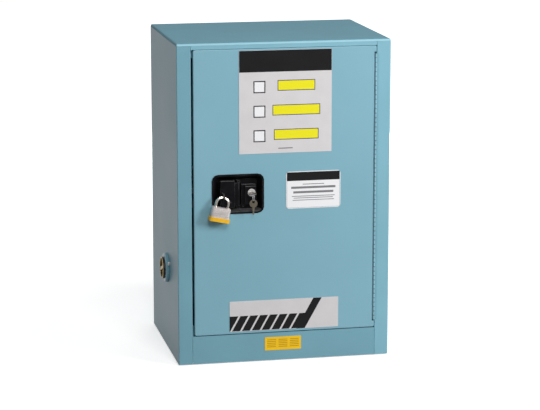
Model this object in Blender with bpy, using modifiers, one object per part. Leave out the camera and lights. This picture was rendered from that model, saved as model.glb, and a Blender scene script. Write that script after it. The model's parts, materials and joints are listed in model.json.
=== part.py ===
"""Safety cabinet: a double-walled steel cabinet with one hinged door, a paddle latch and a padlock.

Metres, +Z up, front towards -Y. The origin is the bottom centre of the whole part's box.
"""
import math

import bmesh
import bpy
from mathutils import Matrix, Vector

# Driving sizes of the cabinet
WIDTH = 0.591
DEPTH = 0.457
HEIGHT = 0.889
SHEET = 0.0012
AIR_SPACE = 0.0370
STILE_WIDTH = 0.039
SEAT = 0.0003
CUT_OVERRUN = 0.002
SKIRT_GAP = 0.003

# The opening that the door closes
FRAME_REBATE = 0.015
RAIL_TOP = 0.081
SILL_RISE = 0.028
SILL_LIP = 0.005
HEADER_HEIGHT = 0.017
CEILING_DROP = 0.040
OPENING_HALF = WIDTH / 2 - STILE_WIDTH
SOFFIT = HEIGHT - HEADER_HEIGHT
CEILING = HEIGHT - CEILING_DROP
SILL_TOP = RAIL_TOP + SILL_RISE

# The door
DOOR_PROUD = 0.0015
DOOR_LATCH_GAP = 0.0057
DOOR_TOP_GAP = 0.001
DOOR_BOTTOM_GAP = 0.002
DOOR_EDGE_DEPTH = 0.012
DOOR_DEPTH = 0.043
DOOR_CORNER = 0.005
DOOR_BEND = 0.002
BOX_INSET = 0.012
BOX_GAP = 0.005
DOOR_LEFT = -(OPENING_HALF - DOOR_LATCH_GAP)

# The hinge, whose barrel fills the gap at the right of the door
KNUCKLE_RADIUS = 0.0024
HINGE_LEAF = 0.001
HINGE_SHADOW_GAP = 0.0024
HINGE_X = OPENING_HALF - SEAT - KNUCKLE_RADIUS
HINGE_FORWARD = 0.001

# The handle's place on the door, and the padlock's
DISH_FROM_EDGE = 0.1213
DISH_X = DOOR_LEFT + DISH_FROM_EDGE
DISH_Z = 0.476
LOCK_ASIDE = 0.038
LOCK_RISE = 0.002
LOCK_X = DISH_X + LOCK_ASIDE
LOCK_Z = DISH_Z + LOCK_RISE
PADLOCK_OUT = 0.017
BUMPER_HALF_DEPTH = 0.015
BOW_RADIUS = 0.011
BOW_WEB = 0.0025
BOW_HOLE = 0.004
KEY_NECK = 0.003
BARREL_PROUD = 0.0005
RING_RADIUS = 0.010
RING_WIRE = 0.0008

# How far the ring and the padlock stand in front of the door, which settles the origin
RING_OUT = BARREL_PROUD + KEY_NECK + 2 * BOW_RADIUS - BOW_WEB / 2
FRONT_REACH = DOOR_PROUD + max(RING_OUT + RING_RADIUS + RING_WIRE, PADLOCK_OUT + BUMPER_HALF_DEPTH)
FRONT = (FRONT_REACH - DEPTH) / 2
BACK = FRONT + DEPTH
DOOR_FACE = FRONT - DOOR_PROUD
HINGE_Y = DOOR_FACE - HINGE_FORWARD

DOOR_RIGHT = HINGE_X - KNUCKLE_RADIUS - HINGE_SHADOW_GAP
DOOR_BOTTOM = RAIL_TOP + DOOR_BOTTOM_GAP
DOOR_TOP = SOFFIT - DOOR_TOP_GAP
DOOR_REAR = DOOR_FACE + DOOR_DEPTH
BOX_LEFT = DOOR_LEFT + BOX_INSET
BOX_RIGHT = DOOR_RIGHT - BOX_INSET
BOX_BOTTOM = SILL_TOP + BOX_GAP
BOX_TOP = CEILING - BOX_GAP

# The inner walls
LINER_BACK = BACK - 2 * SHEET - AIR_SPACE
SUMP_DEPTH = 0.051
SUMP_FLOOR = SILL_TOP - SUMP_DEPTH
BASE_Z = 0.022
WALL = STILE_WIDTH


def fresh_scene():
    for item in list(bpy.data.objects):
        bpy.data.objects.remove(item, do_unlink=True)
    for collection in list(bpy.data.collections):
        bpy.data.collections.remove(collection)


def new_collection(name):
    collection = bpy.data.collections.new(name)
    bpy.context.scene.collection.children.link(collection)
    return collection


fresh_scene()
PARTS = new_collection("safety_cabinet")
CUTTERS = new_collection("cutters")
PIVOTS = {}
FINISHES = {}
COLOURS = {
    "blue_paint": ((0.26, 0.47, 0.56), 0.45, 0.0),
    "black_casting": ((0.02, 0.02, 0.022), 0.35, 0.0),
    "black_rod": ((0.05, 0.05, 0.055), 0.5, 0.6),
    "zinc_steel": ((0.62, 0.63, 0.65), 0.35, 1.0),
    "galvanised": ((0.55, 0.57, 0.60), 0.45, 0.9),
    "chrome": ((0.80, 0.80, 0.80), 0.12, 1.0),
    "brass": ((0.72, 0.55, 0.22), 0.3, 1.0),
    "key_nickel": ((0.42, 0.38, 0.32), 0.35, 1.0),
    "lock_steel": ((0.66, 0.65, 0.64), 0.35, 1.0),
    "yellow_bumper": ((0.85, 0.55, 0.02), 0.4, 0.0),
    "white_plate": ((0.85, 0.85, 0.86), 0.4, 0.0),
    "silver_plate": ((0.62, 0.62, 0.65), 0.4, 0.3),
    "yellow_plate": ((0.85, 0.70, 0.04), 0.4, 0.0),
    "white_tray": ((0.80, 0.81, 0.80), 0.5, 0.0),
}


def finish(name):
    """One Principled material for each finish of the cabinet."""
    if name not in FINISHES:
        colour, roughness, metallic = COLOURS[name]
        material = bpy.data.materials.new(name)
        material.use_nodes = True
        shader = material.node_tree.nodes["Principled BSDF"]
        shader.inputs["Base Color"].default_value = (*colour, 1)
        shader.inputs["Roughness"].default_value = roughness
        shader.inputs["Metallic"].default_value = metallic
        FINISHES[name] = material
    return FINISHES[name]


def keep(piece, name, finish_name, pivot=None, place=(0, 0, 0)):
    """Names a finished object, gives it its material and hangs it on its joint's empty."""
    piece.name = name
    piece.data.name = name
    piece.data.materials.clear()
    piece.data.materials.append(finish(finish_name))
    for collection in list(piece.users_collection):
        collection.objects.unlink(piece)
    PARTS.objects.link(piece)
    piece.location = place
    if pivot:
        piece.parent = PIVOTS[pivot][0]
        piece.location = Vector(place) - PIVOTS[pivot][1]
    return piece


def object_from(bm, name="piece"):
    mesh = bpy.data.meshes.new(name)
    bm.to_mesh(mesh)
    bm.free()
    return bpy.data.objects.new(name, mesh)


def pivot(name, place, parent=None):
    """An empty on a joint's axis, which carries the pieces that move with it."""
    empty = bpy.data.objects.new("pivot_" + name, None)
    PARTS.objects.link(empty)
    empty.location = place
    if parent:
        empty.parent = PIVOTS[parent][0]
        empty.location = Vector(place) - PIVOTS[parent][1]
    PIVOTS[name] = (empty, Vector(place))


def add_box(bm, low, high, edge=0, segments=2):
    """A box between two corners, with its edges rounded where edge is given."""
    size = [high[i] - low[i] for i in range(3)]
    middle = [(high[i] + low[i]) / 2 for i in range(3)]
    made = bmesh.ops.create_cube(bm, size=1)["verts"]
    bmesh.ops.scale(bm, vec=size, verts=made)
    bmesh.ops.translate(bm, vec=middle, verts=made)
    if edge:
        edges = {line for vert in made for line in vert.link_edges}
        bmesh.ops.bevel(bm, geom=list(edges), offset=edge, segments=segments, affect="EDGES", profile=0.5)


def block(name, finish_name, low, high, pivot_name=None, edge=0):
    bm = bmesh.new()
    add_box(bm, low, high, edge)
    return keep(object_from(bm), name, finish_name, pivot_name)


TURNS = {"x": (0, math.pi / 2, 0), "-x": (0, -math.pi / 2, 0), "y": (-math.pi / 2, 0, 0),
         "-y": (math.pi / 2, 0, 0), "z": (0, 0, 0), "-z": (math.pi, 0, 0)}


def add_cylinder(bm, centre, axis, radius, length, segments=16):
    made = bmesh.ops.create_cone(bm, cap_ends=True, segments=segments, radius1=radius, radius2=radius,
                                 depth=length)["verts"]
    turn = bpy.data.objects.new("turn", None)
    turn.rotation_euler = TURNS[axis]
    matrix = turn.rotation_euler.to_matrix()
    bpy.data.objects.remove(turn)
    bmesh.ops.rotate(bm, matrix=matrix, verts=made)
    bmesh.ops.translate(bm, vec=centre, verts=made)


def rod(name, finish_name, centre, axis, radius, length, pivot_name=None, segments=16):
    bm = bmesh.new()
    add_cylinder(bm, centre, axis, radius, length, segments)
    return keep(object_from(bm), name, finish_name, pivot_name)


def turned(name, finish_name, profile, place, axis, closed=False, steps=24, pivot_name=None):
    """A turned piece: the profile's points are (radius, height), from the top down its outer side."""
    bm = bmesh.new()
    verts = [bm.verts.new((radius, 0, height)) for radius, height in profile]
    pairs = list(zip(verts, verts[1:]))
    if closed:
        pairs.append((verts[-1], verts[0]))
    for pair in pairs:
        bm.edges.new(pair)
    piece = keep(object_from(bm), name, finish_name, pivot_name, place)
    piece.rotation_euler = TURNS[axis]
    screw = piece.modifiers.new("turn", "SCREW")
    screw.axis = "Z"
    screw.steps = steps
    screw.render_steps = steps
    screw.use_merge_vertices = True
    screw.merge_threshold = 0.00001
    return piece


def cutter_from(bm, name):
    cutter = object_from(bm, name + "_cutter")
    CUTTERS.objects.link(cutter)
    cutter.display_type = "WIRE"
    cutter.hide_render = True
    return cutter


def boolean(piece, other, operation="DIFFERENCE"):
    change = piece.modifiers.new(operation.lower(), "BOOLEAN")
    change.object = other
    change.operation = operation
    change.solver = "EXACT"


def cut_box(piece, low, high):
    bm = bmesh.new()
    add_box(bm, low, high)
    boolean(piece, cutter_from(bm, piece.name))


def cut_round(piece, holes, segments=16):
    """Round holes in a piece: each is a centre, an axis, a radius and a length."""
    for centre, axis, radius, length in holes:
        bm = bmesh.new()
        add_cylinder(bm, centre, axis, radius, length, segments)
        boolean(piece, cutter_from(bm, piece.name))


def join_box(piece, low, high, edge=0):
    bm = bmesh.new()
    add_box(bm, low, high, edge)
    boolean(piece, cutter_from(bm, piece.name), "UNION")


def join_round(piece, centre, axis, radius, length, segments=16):
    bm = bmesh.new()
    add_cylinder(bm, centre, axis, radius, length, segments)
    boolean(piece, cutter_from(bm, piece.name), "UNION")


def rounded(points, radii, steps=3):
    """A folded sheet's line with an arc at each inner corner, each of its own radius."""
    line = [Vector(points[0])]
    for before, corner, after, radius in zip(points, points[1:], points[2:], radii):
        corner = Vector(corner)
        back = (Vector(before) - corner).normalized()
        ahead = (Vector(after) - corner).normalized()
        for step in range(steps + 1):
            turn = step / steps * math.pi / 2
            offset = (1 - math.sin(turn)) * back + (1 - math.cos(turn)) * ahead
            line.append(corner + radius * offset)
    line.append(Vector(points[-1]))
    return line


def folded(name, finish_name, line, axis, start, end, outside, pivot_name=None):
    """A folded sheet: a line across the sheet, drawn along an axis, thickened away from outside.

    The line's points are (x, y) for axis z, and (y, z) for axis x.
    """
    bm = bmesh.new()
    if axis == "z":
        verts = [bm.verts.new((p[0], p[1], start)) for p in line]
        along = (0, 0, end - start)
    else:
        verts = [bm.verts.new((start, p[0], p[1])) for p in line]
        along = (end - start, 0, 0)
    edges = [bm.edges.new(pair) for pair in zip(verts, verts[1:])]
    made = bmesh.ops.extrude_edge_only(bm, edges=edges)["geom"]
    bmesh.ops.translate(bm, vec=along, verts=[g for g in made if isinstance(g, bmesh.types.BMVert)])
    bmesh.ops.recalc_face_normals(bm, faces=bm.faces)
    bm.faces.ensure_lookup_table()
    first = min(bm.faces, key=lambda face: (face.calc_center_median() - edge_middle(line, axis, start,
                                                                                     end)).length)
    if first.normal.dot(Vector(outside)) < 0:
        bmesh.ops.reverse_faces(bm, faces=bm.faces)
    piece = keep(object_from(bm), name, finish_name, pivot_name)
    thicken(piece, SHEET)
    return piece


def edge_middle(line, axis, start, end):
    """The middle of a folded sheet's first flat, which outside is told for."""
    middle = (Vector(line[0]) + Vector(line[1])) / 2
    if axis == "z":
        return Vector((middle[0], middle[1], (start + end) / 2))
    return Vector(((start + end) / 2, middle[0], middle[1]))


def thicken(piece, thickness, offset=-1):
    wall = piece.modifiers.new("wall", "SOLIDIFY")
    wall.thickness = thickness
    wall.offset = offset
    wall.use_even_offset = True
    return wall


def round_rect(half_width, half_height, radius, steps=3):
    """The points of a rectangle with round corners, about its own middle."""
    points = []
    for corner, (sx, sy) in enumerate(((1, 1), (-1, 1), (-1, -1), (1, -1))):
        cx = sx * (half_width - radius)
        cy = sy * (half_height - radius)
        for step in range(steps + 1):
            turn = (corner + step / steps) * math.pi / 2
            points.append((cx + radius * math.cos(turn), cy + radius * math.sin(turn)))
    return points


def loft(rings, close_start=True, close_end=True):
    """Skins a run of rings that have the same number of points."""
    bm = bmesh.new()
    loops = [[bm.verts.new(point) for point in ring] for ring in rings]
    count = len(loops[0])
    for near, far in zip(loops, loops[1:]):
        for i in range(count):
            j = (i + 1) % count
            bm.faces.new((near[i], near[j], far[j], far[i]))
    if close_start:
        bm.faces.new(list(reversed(loops[0])))
    if close_end:
        bm.faces.new(loops[-1])
    bmesh.ops.recalc_face_normals(bm, faces=bm.faces)
    return bm


def ring_xz(half_width, half_height, radius, centre, y, steps=3):
    return [(centre[0] + px, y, centre[1] + pz)
            for px, pz in round_rect(half_width, half_height, radius, steps)]


def level_ring(half_width, half_depth, radius, z, middle=0, steps=2):
    return [(px, middle + py, z) for px, py in round_rect(half_width, half_depth, radius, steps)]


def cupped(rings, last_outer):
    """Closes a pan's outer and inner skins into one solid: the last ring meets the first."""
    bm = bmesh.new()
    loops = [[bm.verts.new(point) for point in ring] for ring in rings]
    count = len(loops[0])
    for k, near in enumerate(loops):
        far = loops[(k + 1) % len(loops)]
        if k == last_outer:
            bm.faces.new(near)
            bm.faces.new(far)
            continue
        for i in range(count):
            j = (i + 1) % count
            bm.faces.new((near[i], near[j], far[j], far[i]))
    bmesh.ops.recalc_face_normals(bm, faces=bm.faces)
    return bm


def wire(name, finish_name, points, radius, pivot_name=None, place=(0, 0, 0), detail=2):
    """A rod bent along a run of points: a curve with a round bevel and filled caps."""
    curve = bpy.data.curves.new(name, "CURVE")
    curve.dimensions = "3D"
    curve.bevel_depth = radius
    curve.bevel_resolution = detail
    curve.use_fill_caps = True
    spline = curve.splines.new("POLY")
    spline.points.add(len(points) - 1)
    for point, target in zip(points, spline.points):
        target.co = (*point, 1)
    return keep(bpy.data.objects.new(name, curve), name, finish_name, pivot_name, place)


def plate(name, finish_name, centre, half_width, half_height, radius, front, pivot_name=None):
    """A thin label plate that faces the front, seated on the surface at front."""
    ring_back = ring_xz(half_width, half_height, radius, centre, front - SEAT)
    ring_front = ring_xz(half_width, half_height, radius, centre, front - SEAT - PLATE_THICKNESS)
    return keep(object_from(loft([ring_back, ring_front])), name, finish_name, pivot_name)


# Joint pivots, from the cabinet outwards
PADDLE_ASIDE = 0.002
PADDLE_AXIS_BACK = 0.008
SHACKLE_ASIDE = 0.0429
SHACKLE_DROP = 0.005
PADDLE_X = DISH_X + PADDLE_ASIDE
PADDLE_Y = DOOR_FACE + PADDLE_AXIS_BACK
SHACKLE_X = DISH_X - SHACKLE_ASIDE
SHACKLE_Z = DISH_Z - SHACKLE_DROP
SHACKLE_Y = DOOR_FACE - PADLOCK_OUT
LOCK_FACE = DOOR_FACE - BARREL_PROUD
RING_TOP_Y = DOOR_FACE - RING_OUT

VENT_BACK = 0.190
VENT_LOW_Z = 0.235
VENT_HIGH_DROP = 0.130
VENT_Y = FRONT + VENT_BACK
VENTS = {"left": (-1, VENT_LOW_Z), "right": (1, HEIGHT - VENT_HIGH_DROP)}

FOOT_INSET_X = 0.048
FOOT_INSET_Y = 0.050
FEET = {"front_left": (-1, -1), "front_right": (1, -1), "rear_left": (-1, 1), "rear_right": (1, 1)}


def foot_place(name):
    side, end = FEET[name]
    middle = (FRONT + BACK) / 2
    return side * (WIDTH / 2 - FOOT_INSET_X), middle + end * (DEPTH / 2 - FOOT_INSET_Y)


def make_pivots():
    pivot("door", (HINGE_X, HINGE_Y, DOOR_BOTTOM))
    pivot("paddle", (PADDLE_X, PADDLE_Y, DISH_Z), "door")
    pivot("hub", (HUB_X, DOOR_FACE, HUB_Z), "door")
    pivot("rods", (HUB_X, DOOR_FACE, HUB_Z), "door")
    pivot("lock", (LOCK_X, LOCK_FACE, LOCK_Z), "door")
    pivot("ring", (LOCK_X, RING_TOP_Y, LOCK_Z), "lock")
    pivot("padlock", (SHACKLE_X, SHACKLE_Y, SHACKLE_Z), "paddle")
    for name, (side, height) in VENTS.items():
        pivot(name + "_cap", (side * WIDTH / 2, VENT_Y, height))
    for name in FEET:
        pivot(name + "_foot", (*foot_place(name), 0))
    pivot("shelf", (0, (FRONT + BACK) / 2, SHELF_Z))
    pivot("tray", (0, (FRONT + BACK) / 2, SHELF_Z), "shelf")


# Outer panels: two folded sides, a lid, a back and a base
BEND_RADIUS = 0.0025
STILE_BEND = 0.0015
REAR_FLANGE = 0.015
LID_SIDE_ROLL = 0.0035
LID_END_ROLL = 0.004
LID_DEEP_ROLL = 0.006
LID_DROP = 0.0063
ROLL_STEPS = 3
SIDE_TOP = HEIGHT - LID_DROP - SEAT
VENT_TUBE = 0.0330
VENT_HOLE = VENT_TUBE + SEAT


def side_panels():
    """Each side is one sheet: its front edge folds round to the stile, its rear edge to a flange."""
    for name, side in (("left_side_panel", -1), ("right_side_panel", 1)):
        line = [(side * OPENING_HALF, FRONT + FRAME_REBATE), (side * OPENING_HALF, FRONT),
                (side * WIDTH / 2, FRONT), (side * WIDTH / 2, BACK - SHEET - SEAT),
                (side * (WIDTH / 2 - REAR_FLANGE), BACK - SHEET - SEAT)]
        panel = folded(name, "blue_paint", rounded(line, (STILE_BEND, BEND_RADIUS, BEND_RADIUS)), "z",
                       SKIRT_GAP, SIDE_TOP, (-side, 0, 0))
        height = VENTS["left" if side < 0 else "right"][1]
        cut_round(panel, [((side * WIDTH / 2, VENT_Y, height), "x", VENT_HOLE, 2 * WALL)], 24)


def lid():
    """The top: a shallow pan with rolled edges, seated on the walls below it."""
    outer = lid_rings(0)
    rings = outer + lid_rings(SHEET)[::-1]
    keep(object_from(cupped(rings, len(outer) - 1)), "top_panel", "blue_paint")


def lid_rings(depth):
    """The lid's outline from its lower edge up round the roll, at a depth inside its outer face."""
    steps = [(0, 0)]
    for step in range(ROLL_STEPS + 1):
        turn = step / ROLL_STEPS * math.pi / 2
        steps.append((1 - math.cos(turn), math.sin(turn)))
    rings = []
    for k, (inward, upward) in enumerate(steps):
        inset_x = depth + inward * (LID_SIDE_ROLL - depth)
        inset_y = depth + inward * (LID_END_ROLL - depth)
        rise = upward * (LID_DEEP_ROLL - depth) - LID_DEEP_ROLL
        z = HEIGHT + rise if k else HEIGHT - LID_DROP
        rings.append(level_ring(WIDTH / 2 - inset_x, DEPTH / 2 - inset_y, max(BEND_RADIUS - inset_y, SEAT), z,
                                (FRONT + BACK) / 2))
    return rings


def flat_panels():
    block("back_panel", "blue_paint", (-WIDTH / 2, BACK - SHEET, SKIRT_GAP), (WIDTH / 2, BACK, SIDE_TOP))
    base = block("base_panel", "blue_paint",
                 (-WIDTH / 2 + SHEET + SEAT, FRONT + FRAME_REBATE + SEAT, BASE_Z),
                 (WIDTH / 2 - SHEET - SEAT, BACK - 2 * SHEET - BEND_RADIUS, BASE_Z + SHEET))
    for name in FEET:
        join_round(base, (*foot_place(name), BASE_Z + (SHEET + NUT_HEIGHT) / 2), "z", NUT_RADIUS,
                   SHEET + NUT_HEIGHT - CUT_OVERRUN / 4, NUT_SIDES)
    cut_round(base, [((*foot_place(name), BASE_Z), "z", STEM_RADIUS, 2 * WALL) for name in FEET], 12)


def header_and_rail():
    """The rail above the door and the one below it, each stepped back behind the door's edge."""
    half = OPENING_HALF - SEAT
    header = [(FRONT, SIDE_TOP), (FRONT, SOFFIT), (FRONT + FRAME_REBATE, SOFFIT),
              (FRONT + FRAME_REBATE, CEILING)]
    folded("door_header", "blue_paint", header, "x", -half, half, (0, -1, 0))
    rail = [(FRONT, SKIRT_GAP), (FRONT, RAIL_TOP), (FRONT + FRAME_REBATE, RAIL_TOP),
            (FRONT + FRAME_REBATE, SILL_TOP), (FRONT + FRAME_REBATE + SILL_LIP, SILL_TOP)]
    folded("bottom_rail", "blue_paint", rail, "x", -half, half, (0, -1, 0))


def inner_walls():
    """The inner skin, an air space away from the outer one."""
    front = FRONT + FRAME_REBATE + SHEET + SEAT
    for name, side in (("left_liner", -1), ("right_liner", 1)):
        inner = side * OPENING_HALF
        outer = side * (OPENING_HALF + SHEET)
        low = (min(inner, outer), FRONT + FRAME_REBATE + SEAT, SUMP_FLOOR - SHEET)
        high = (max(inner, outer), LINER_BACK + SHEET, CEILING + SHEET)
        liner = block(name, "blue_paint", low, high)
        height = VENTS["left" if side < 0 else "right"][1]
        cut_round(liner, [((inner, VENT_Y, height), "x", VENT_HOLE, 2 * WALL)], 24)
    half = OPENING_HALF - SEAT
    block("back_liner", "blue_paint", (-half, LINER_BACK, SUMP_FLOOR - SHEET),
          (half, LINER_BACK + SHEET, CEILING + SHEET))
    block("ceiling_liner", "blue_paint", (-half, front, CEILING), (half, LINER_BACK - SEAT, CEILING + SHEET))
    sump_pan(front, half)


def sump_pan(front, half):
    """The leak-tight pan below the shelf: an open box whose walls stand inside the inner skin."""
    bm = bmesh.new()
    low = (-half, front, SUMP_FLOOR - SHEET)
    high = (half, LINER_BACK - SEAT, SILL_TOP - SHEET - SEAT)
    add_box(bm, low, high)
    lid = [face for face in bm.faces if face.normal.z > 1 / 2]
    bmesh.ops.delete(bm, geom=lid, context="FACES")
    thicken(keep(object_from(bm), "sump_pan", "blue_paint"), SHEET)


# Shelf, on an angle rail along each side liner, and its loose tray
SHELF_Z = 0.452
SHELF_SIDE_GAP = 0.006
SHELF_FRONT_GAP = 0.035
SHELF_BACK_GAP = 0.012
SHELF_FOLD = 0.025
RAIL_REACH = 0.016
RAIL_DROP = 0.020
RAIL_SHEET = 0.0015
TRAY_MARGIN = 0.012
TRAY_HEIGHT = 0.030
TRAY_WALL = 0.0025
TRAY_DRAFT = 0.006
TRAY_CORNER = 0.020
SHELF_FRONT = DOOR_REAR + SHELF_FRONT_GAP
SHELF_BACK = LINER_BACK - SHELF_BACK_GAP
SHELF_HALF = OPENING_HALF - SHELF_SIDE_GAP


def shelf_parts():
    """A galvanised shelf whose folded front and rear edges drop past the ends of its two rails."""
    line = [(SHELF_FRONT + SHELF_FOLD / 2, SHELF_Z - SHELF_FOLD), (SHELF_FRONT, SHELF_Z - SHELF_FOLD),
            (SHELF_FRONT, SHELF_Z), (SHELF_BACK, SHELF_Z), (SHELF_BACK, SHELF_Z - SHELF_FOLD),
            (SHELF_BACK - SHELF_FOLD / 2, SHELF_Z - SHELF_FOLD)]
    folded("shelf", "galvanised", line, "x", -SHELF_HALF, SHELF_HALF, (0, 0, -1), "shelf")
    top = SHELF_Z - SHEET - SEAT
    front = SHELF_FRONT + SHELF_FOLD
    back = SHELF_BACK - SHELF_FOLD
    for name, side in (("left_shelf_rail", -1), ("right_shelf_rail", 1)):
        outer = side * (OPENING_HALF - SEAT)
        seat_edges = sorted((outer, outer - side * RAIL_REACH))
        leg_edges = sorted((outer, outer - side * RAIL_SHEET))
        rail = block(name, "galvanised", (seat_edges[0], front, top - RAIL_SHEET), (seat_edges[1], back, top))
        join_box(rail, (leg_edges[0], front, top - RAIL_DROP), (leg_edges[1], back, top - RAIL_SHEET / 2))
    tray_half = SHELF_HALF - TRAY_MARGIN
    depth_half = (SHELF_BACK - SHELF_FRONT) / 2 - TRAY_MARGIN
    middle = (SHELF_FRONT + SHELF_BACK) / 2
    base = SHELF_Z + SEAT
    rings = [level_ring(tray_half - draft, depth_half - draft, TRAY_CORNER, base + height, middle, 3)
             for height, draft in ((TRAY_HEIGHT, 0), (0, TRAY_DRAFT))]
    bm = loft(rings, close_start=False)
    floor = max(bm.faces, key=lambda face: face.calc_area())
    if floor.normal.z > 0:
        bmesh.ops.reverse_faces(bm, faces=bm.faces)
    thicken(keep(object_from(bm), "shelf_tray", "white_tray", "tray"), TRAY_WALL)


# Vents: a flanged tube through both walls, a threaded cap and a flame-arrester screen
COLLAR_RADIUS = 0.041
COLLAR_EDGE = 0.004
COLLAR_PROUD = 0.010
VENT_BORE = 0.0310
CAP_DEPTH = 0.026
CAP_PROUD = 0.0065
CAP_EDGE = 0.001
CAP_RIM = 0.004
CAP_DISH = 0.004
CAP_BAR = 0.009
CAP_BAR_LOW = 0.0005
CAP_BAR_TURN = math.radians(-20)
SCREEN_THICKNESS = 0.0015
SCREEN_SUNK = 0.004


def vents():
    tube_end = -(WALL + SEAT)
    for name, (side, height) in VENTS.items():
        place = (side * WIDTH / 2, VENT_Y, height)
        axis = "x" if side > 0 else "-x"
        turned(name + "_vent_collar", "blue_paint", collar_edge() + [
            (COLLAR_RADIUS, SEAT), (VENT_TUBE, SEAT), (VENT_TUBE, tube_end), (VENT_BORE, tube_end),
            (VENT_BORE, COLLAR_PROUD)], place, axis, closed=True, steps=28)
        cap_radius = VENT_BORE - SEAT
        cap_top = COLLAR_PROUD + CAP_PROUD
        cap = turned(name + "_vent_cap", "brass", [
            (0, cap_top - CAP_DISH), (cap_radius - CAP_RIM, cap_top - CAP_DISH),
            (cap_radius - CAP_RIM, cap_top), (cap_radius - CAP_EDGE, cap_top),
            (cap_radius, cap_top - CAP_EDGE), (cap_radius, cap_top - CAP_DEPTH), (0, cap_top - CAP_DEPTH)],
            place, axis, steps=28, pivot_name=name + "_cap")
        cap_bar(cap, side, height, cap_radius, cap_top)
        turned(name + "_vent_screen", "brass", [
            (0, SCREEN_THICKNESS), (VENT_BORE - SEAT, SCREEN_THICKNESS), (VENT_BORE - SEAT, 0), (0, 0)],
            (side * (WIDTH / 2 - WALL + SCREEN_SUNK), VENT_Y, height), axis, steps=20)


def collar_edge():
    """The collar's rounded outer corner, from its face outwards."""
    arc = []
    for step in range(ROLL_STEPS + 1):
        turn = step / ROLL_STEPS * math.pi / 2
        arc.append((COLLAR_RADIUS - COLLAR_EDGE * (1 - math.sin(turn)),
                    COLLAR_PROUD - COLLAR_EDGE * (1 - math.cos(turn))))
    return arc


def cap_bar(cap, side, height, cap_radius, cap_top):
    """A grip bar across the cap's dished face, turned a little from level."""
    floor = WIDTH / 2 + cap_top - CAP_DISH - CUT_OVERRUN
    top = WIDTH / 2 + cap_top - CAP_BAR_LOW
    ends = sorted((side * floor, side * top))
    reach = cap_radius - CAP_RIM - CUT_OVERRUN
    bm = bmesh.new()
    add_box(bm, (ends[0], VENT_Y - reach, height - CAP_BAR / 2),
            (ends[1], VENT_Y + reach, height + CAP_BAR / 2))
    bmesh.ops.rotate(bm, cent=(ends[0], VENT_Y, height), matrix=Matrix.Rotation(CAP_BAR_TURN, 3, "X"),
                     verts=bm.verts)
    boolean(cap, cutter_from(bm, cap.name), "UNION")


GROUND_SCREW_BACK = 0.147
GROUND_SCREW_Z = 0.2545
GROUND_HEAD = 0.005
GROUND_SHANK = 0.0025


def ground_screw():
    """A bare screw for the earthing cable, on the left side in front of the vent."""
    place = (-WIDTH / 2, FRONT + GROUND_SCREW_BACK, GROUND_SCREW_Z)
    turned("ground_screw", "zinc_steel", [
        (0, GROUND_HEAD), (GROUND_HEAD * 4 / 5, GROUND_HEAD), (GROUND_HEAD, GROUND_HEAD / 2),
        (GROUND_HEAD, SEAT), (GROUND_SHANK, SEAT), (GROUND_SHANK, -SHEET - GROUND_HEAD),
        (0, -SHEET - GROUND_HEAD)], place, "-x", steps=12)
    hole = (place, "x", GROUND_SHANK + SEAT, 4 * GROUND_HEAD)
    cut_round(PARTS.objects["left_side_panel"], [hole], 10)


# Levelling feet: a pad on a threaded stem through a nut welded to the base
PAD_RADIUS = 0.018
PAD_HEIGHT = 0.007
STEM_RADIUS = 0.005
STEM_TOP = 0.050
NECK_HEIGHT = 0.004
NUT_RADIUS = 0.0095
NUT_HEIGHT = 0.008
NUT_SIDES = 6


def feet():
    for name in FEET:
        turned(name + "_foot", "zinc_steel", [
            (0, STEM_TOP), (STEM_RADIUS - SEAT, STEM_TOP), (STEM_RADIUS - SEAT, PAD_HEIGHT + NECK_HEIGHT),
            (PAD_RADIUS / 2, PAD_HEIGHT), (PAD_RADIUS - SEAT, PAD_HEIGHT), (PAD_RADIUS, 0), (0, 0)],
            (*foot_place(name), 0), "z", steps=16, pivot_name=name + "_foot")


# The door: an outer pan with folded edges and an inner box behind it
EAR_GAP = 0.0012
NOTCH_PLAY = 0.003


def door_shell():
    centre = ((DOOR_LEFT + DOOR_RIGHT) / 2, (DOOR_BOTTOM + DOOR_TOP) / 2)
    half_width = (DOOR_RIGHT - DOOR_LEFT) / 2
    half_height = (DOOR_TOP - DOOR_BOTTOM) / 2
    bend_share = 1 - math.sqrt(1 / 2)
    face_inset = DOOR_BEND
    mid_inset = DOOR_BEND * bend_share
    rings = []
    for inset, back in ((face_inset, 0), (mid_inset, mid_inset), (0, DOOR_BEND), (0, DOOR_EDGE_DEPTH)):
        rings.append(door_outline(inset, DOOR_FACE + back))
    bm = loft(rings, close_end=False)
    point_outwards(bm, (0, -1, 0))
    skin = keep(object_from(bm), "door_skin", "blue_paint", "door")
    thicken(skin, SHEET)
    cut_dish_hole(skin)
    door_box(centre, half_width, half_height)


def door_outline(inset, y):
    """The outer pan's outline: it reaches the stile above and below the hinge, and is notched between."""
    right = OPENING_HALF - EAR_GAP
    centre = ((DOOR_LEFT + right) / 2, (DOOR_BOTTOM + DOOR_TOP) / 2)
    ring = ring_xz((right - DOOR_LEFT) / 2 - inset, (DOOR_TOP - DOOR_BOTTOM) / 2 - inset,
                   DOOR_CORNER - inset, centre, y)
    low = HINGE_LOW - NOTCH_PLAY - inset
    high = HINGE_HIGH + NOTCH_PLAY + inset
    return ring + [(right - inset, y, low), (DOOR_RIGHT - inset, y, low), (DOOR_RIGHT - inset, y, high),
                   (right - inset, y, high)]


def point_outwards(bm, outside):
    """Turns an open skin's faces so that its largest face looks outside."""
    largest = max(bm.faces, key=lambda face: face.calc_area())
    if largest.normal.dot(Vector(outside)) < 0:
        bmesh.ops.reverse_faces(bm, faces=bm.faces)


def cut_dish_hole(skin):
    inset = DISH_RIM / 3
    rings = [ring_xz(DISH_HALF_WIDTH - inset, DISH_HALF_HEIGHT - inset, DISH_CORNER - inset,
                     (DISH_X, DISH_Z), DOOR_FACE + offset) for offset in (-WALL, WALL)]
    boolean(skin, cutter_from(loft(rings), "dish_hole"))


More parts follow.
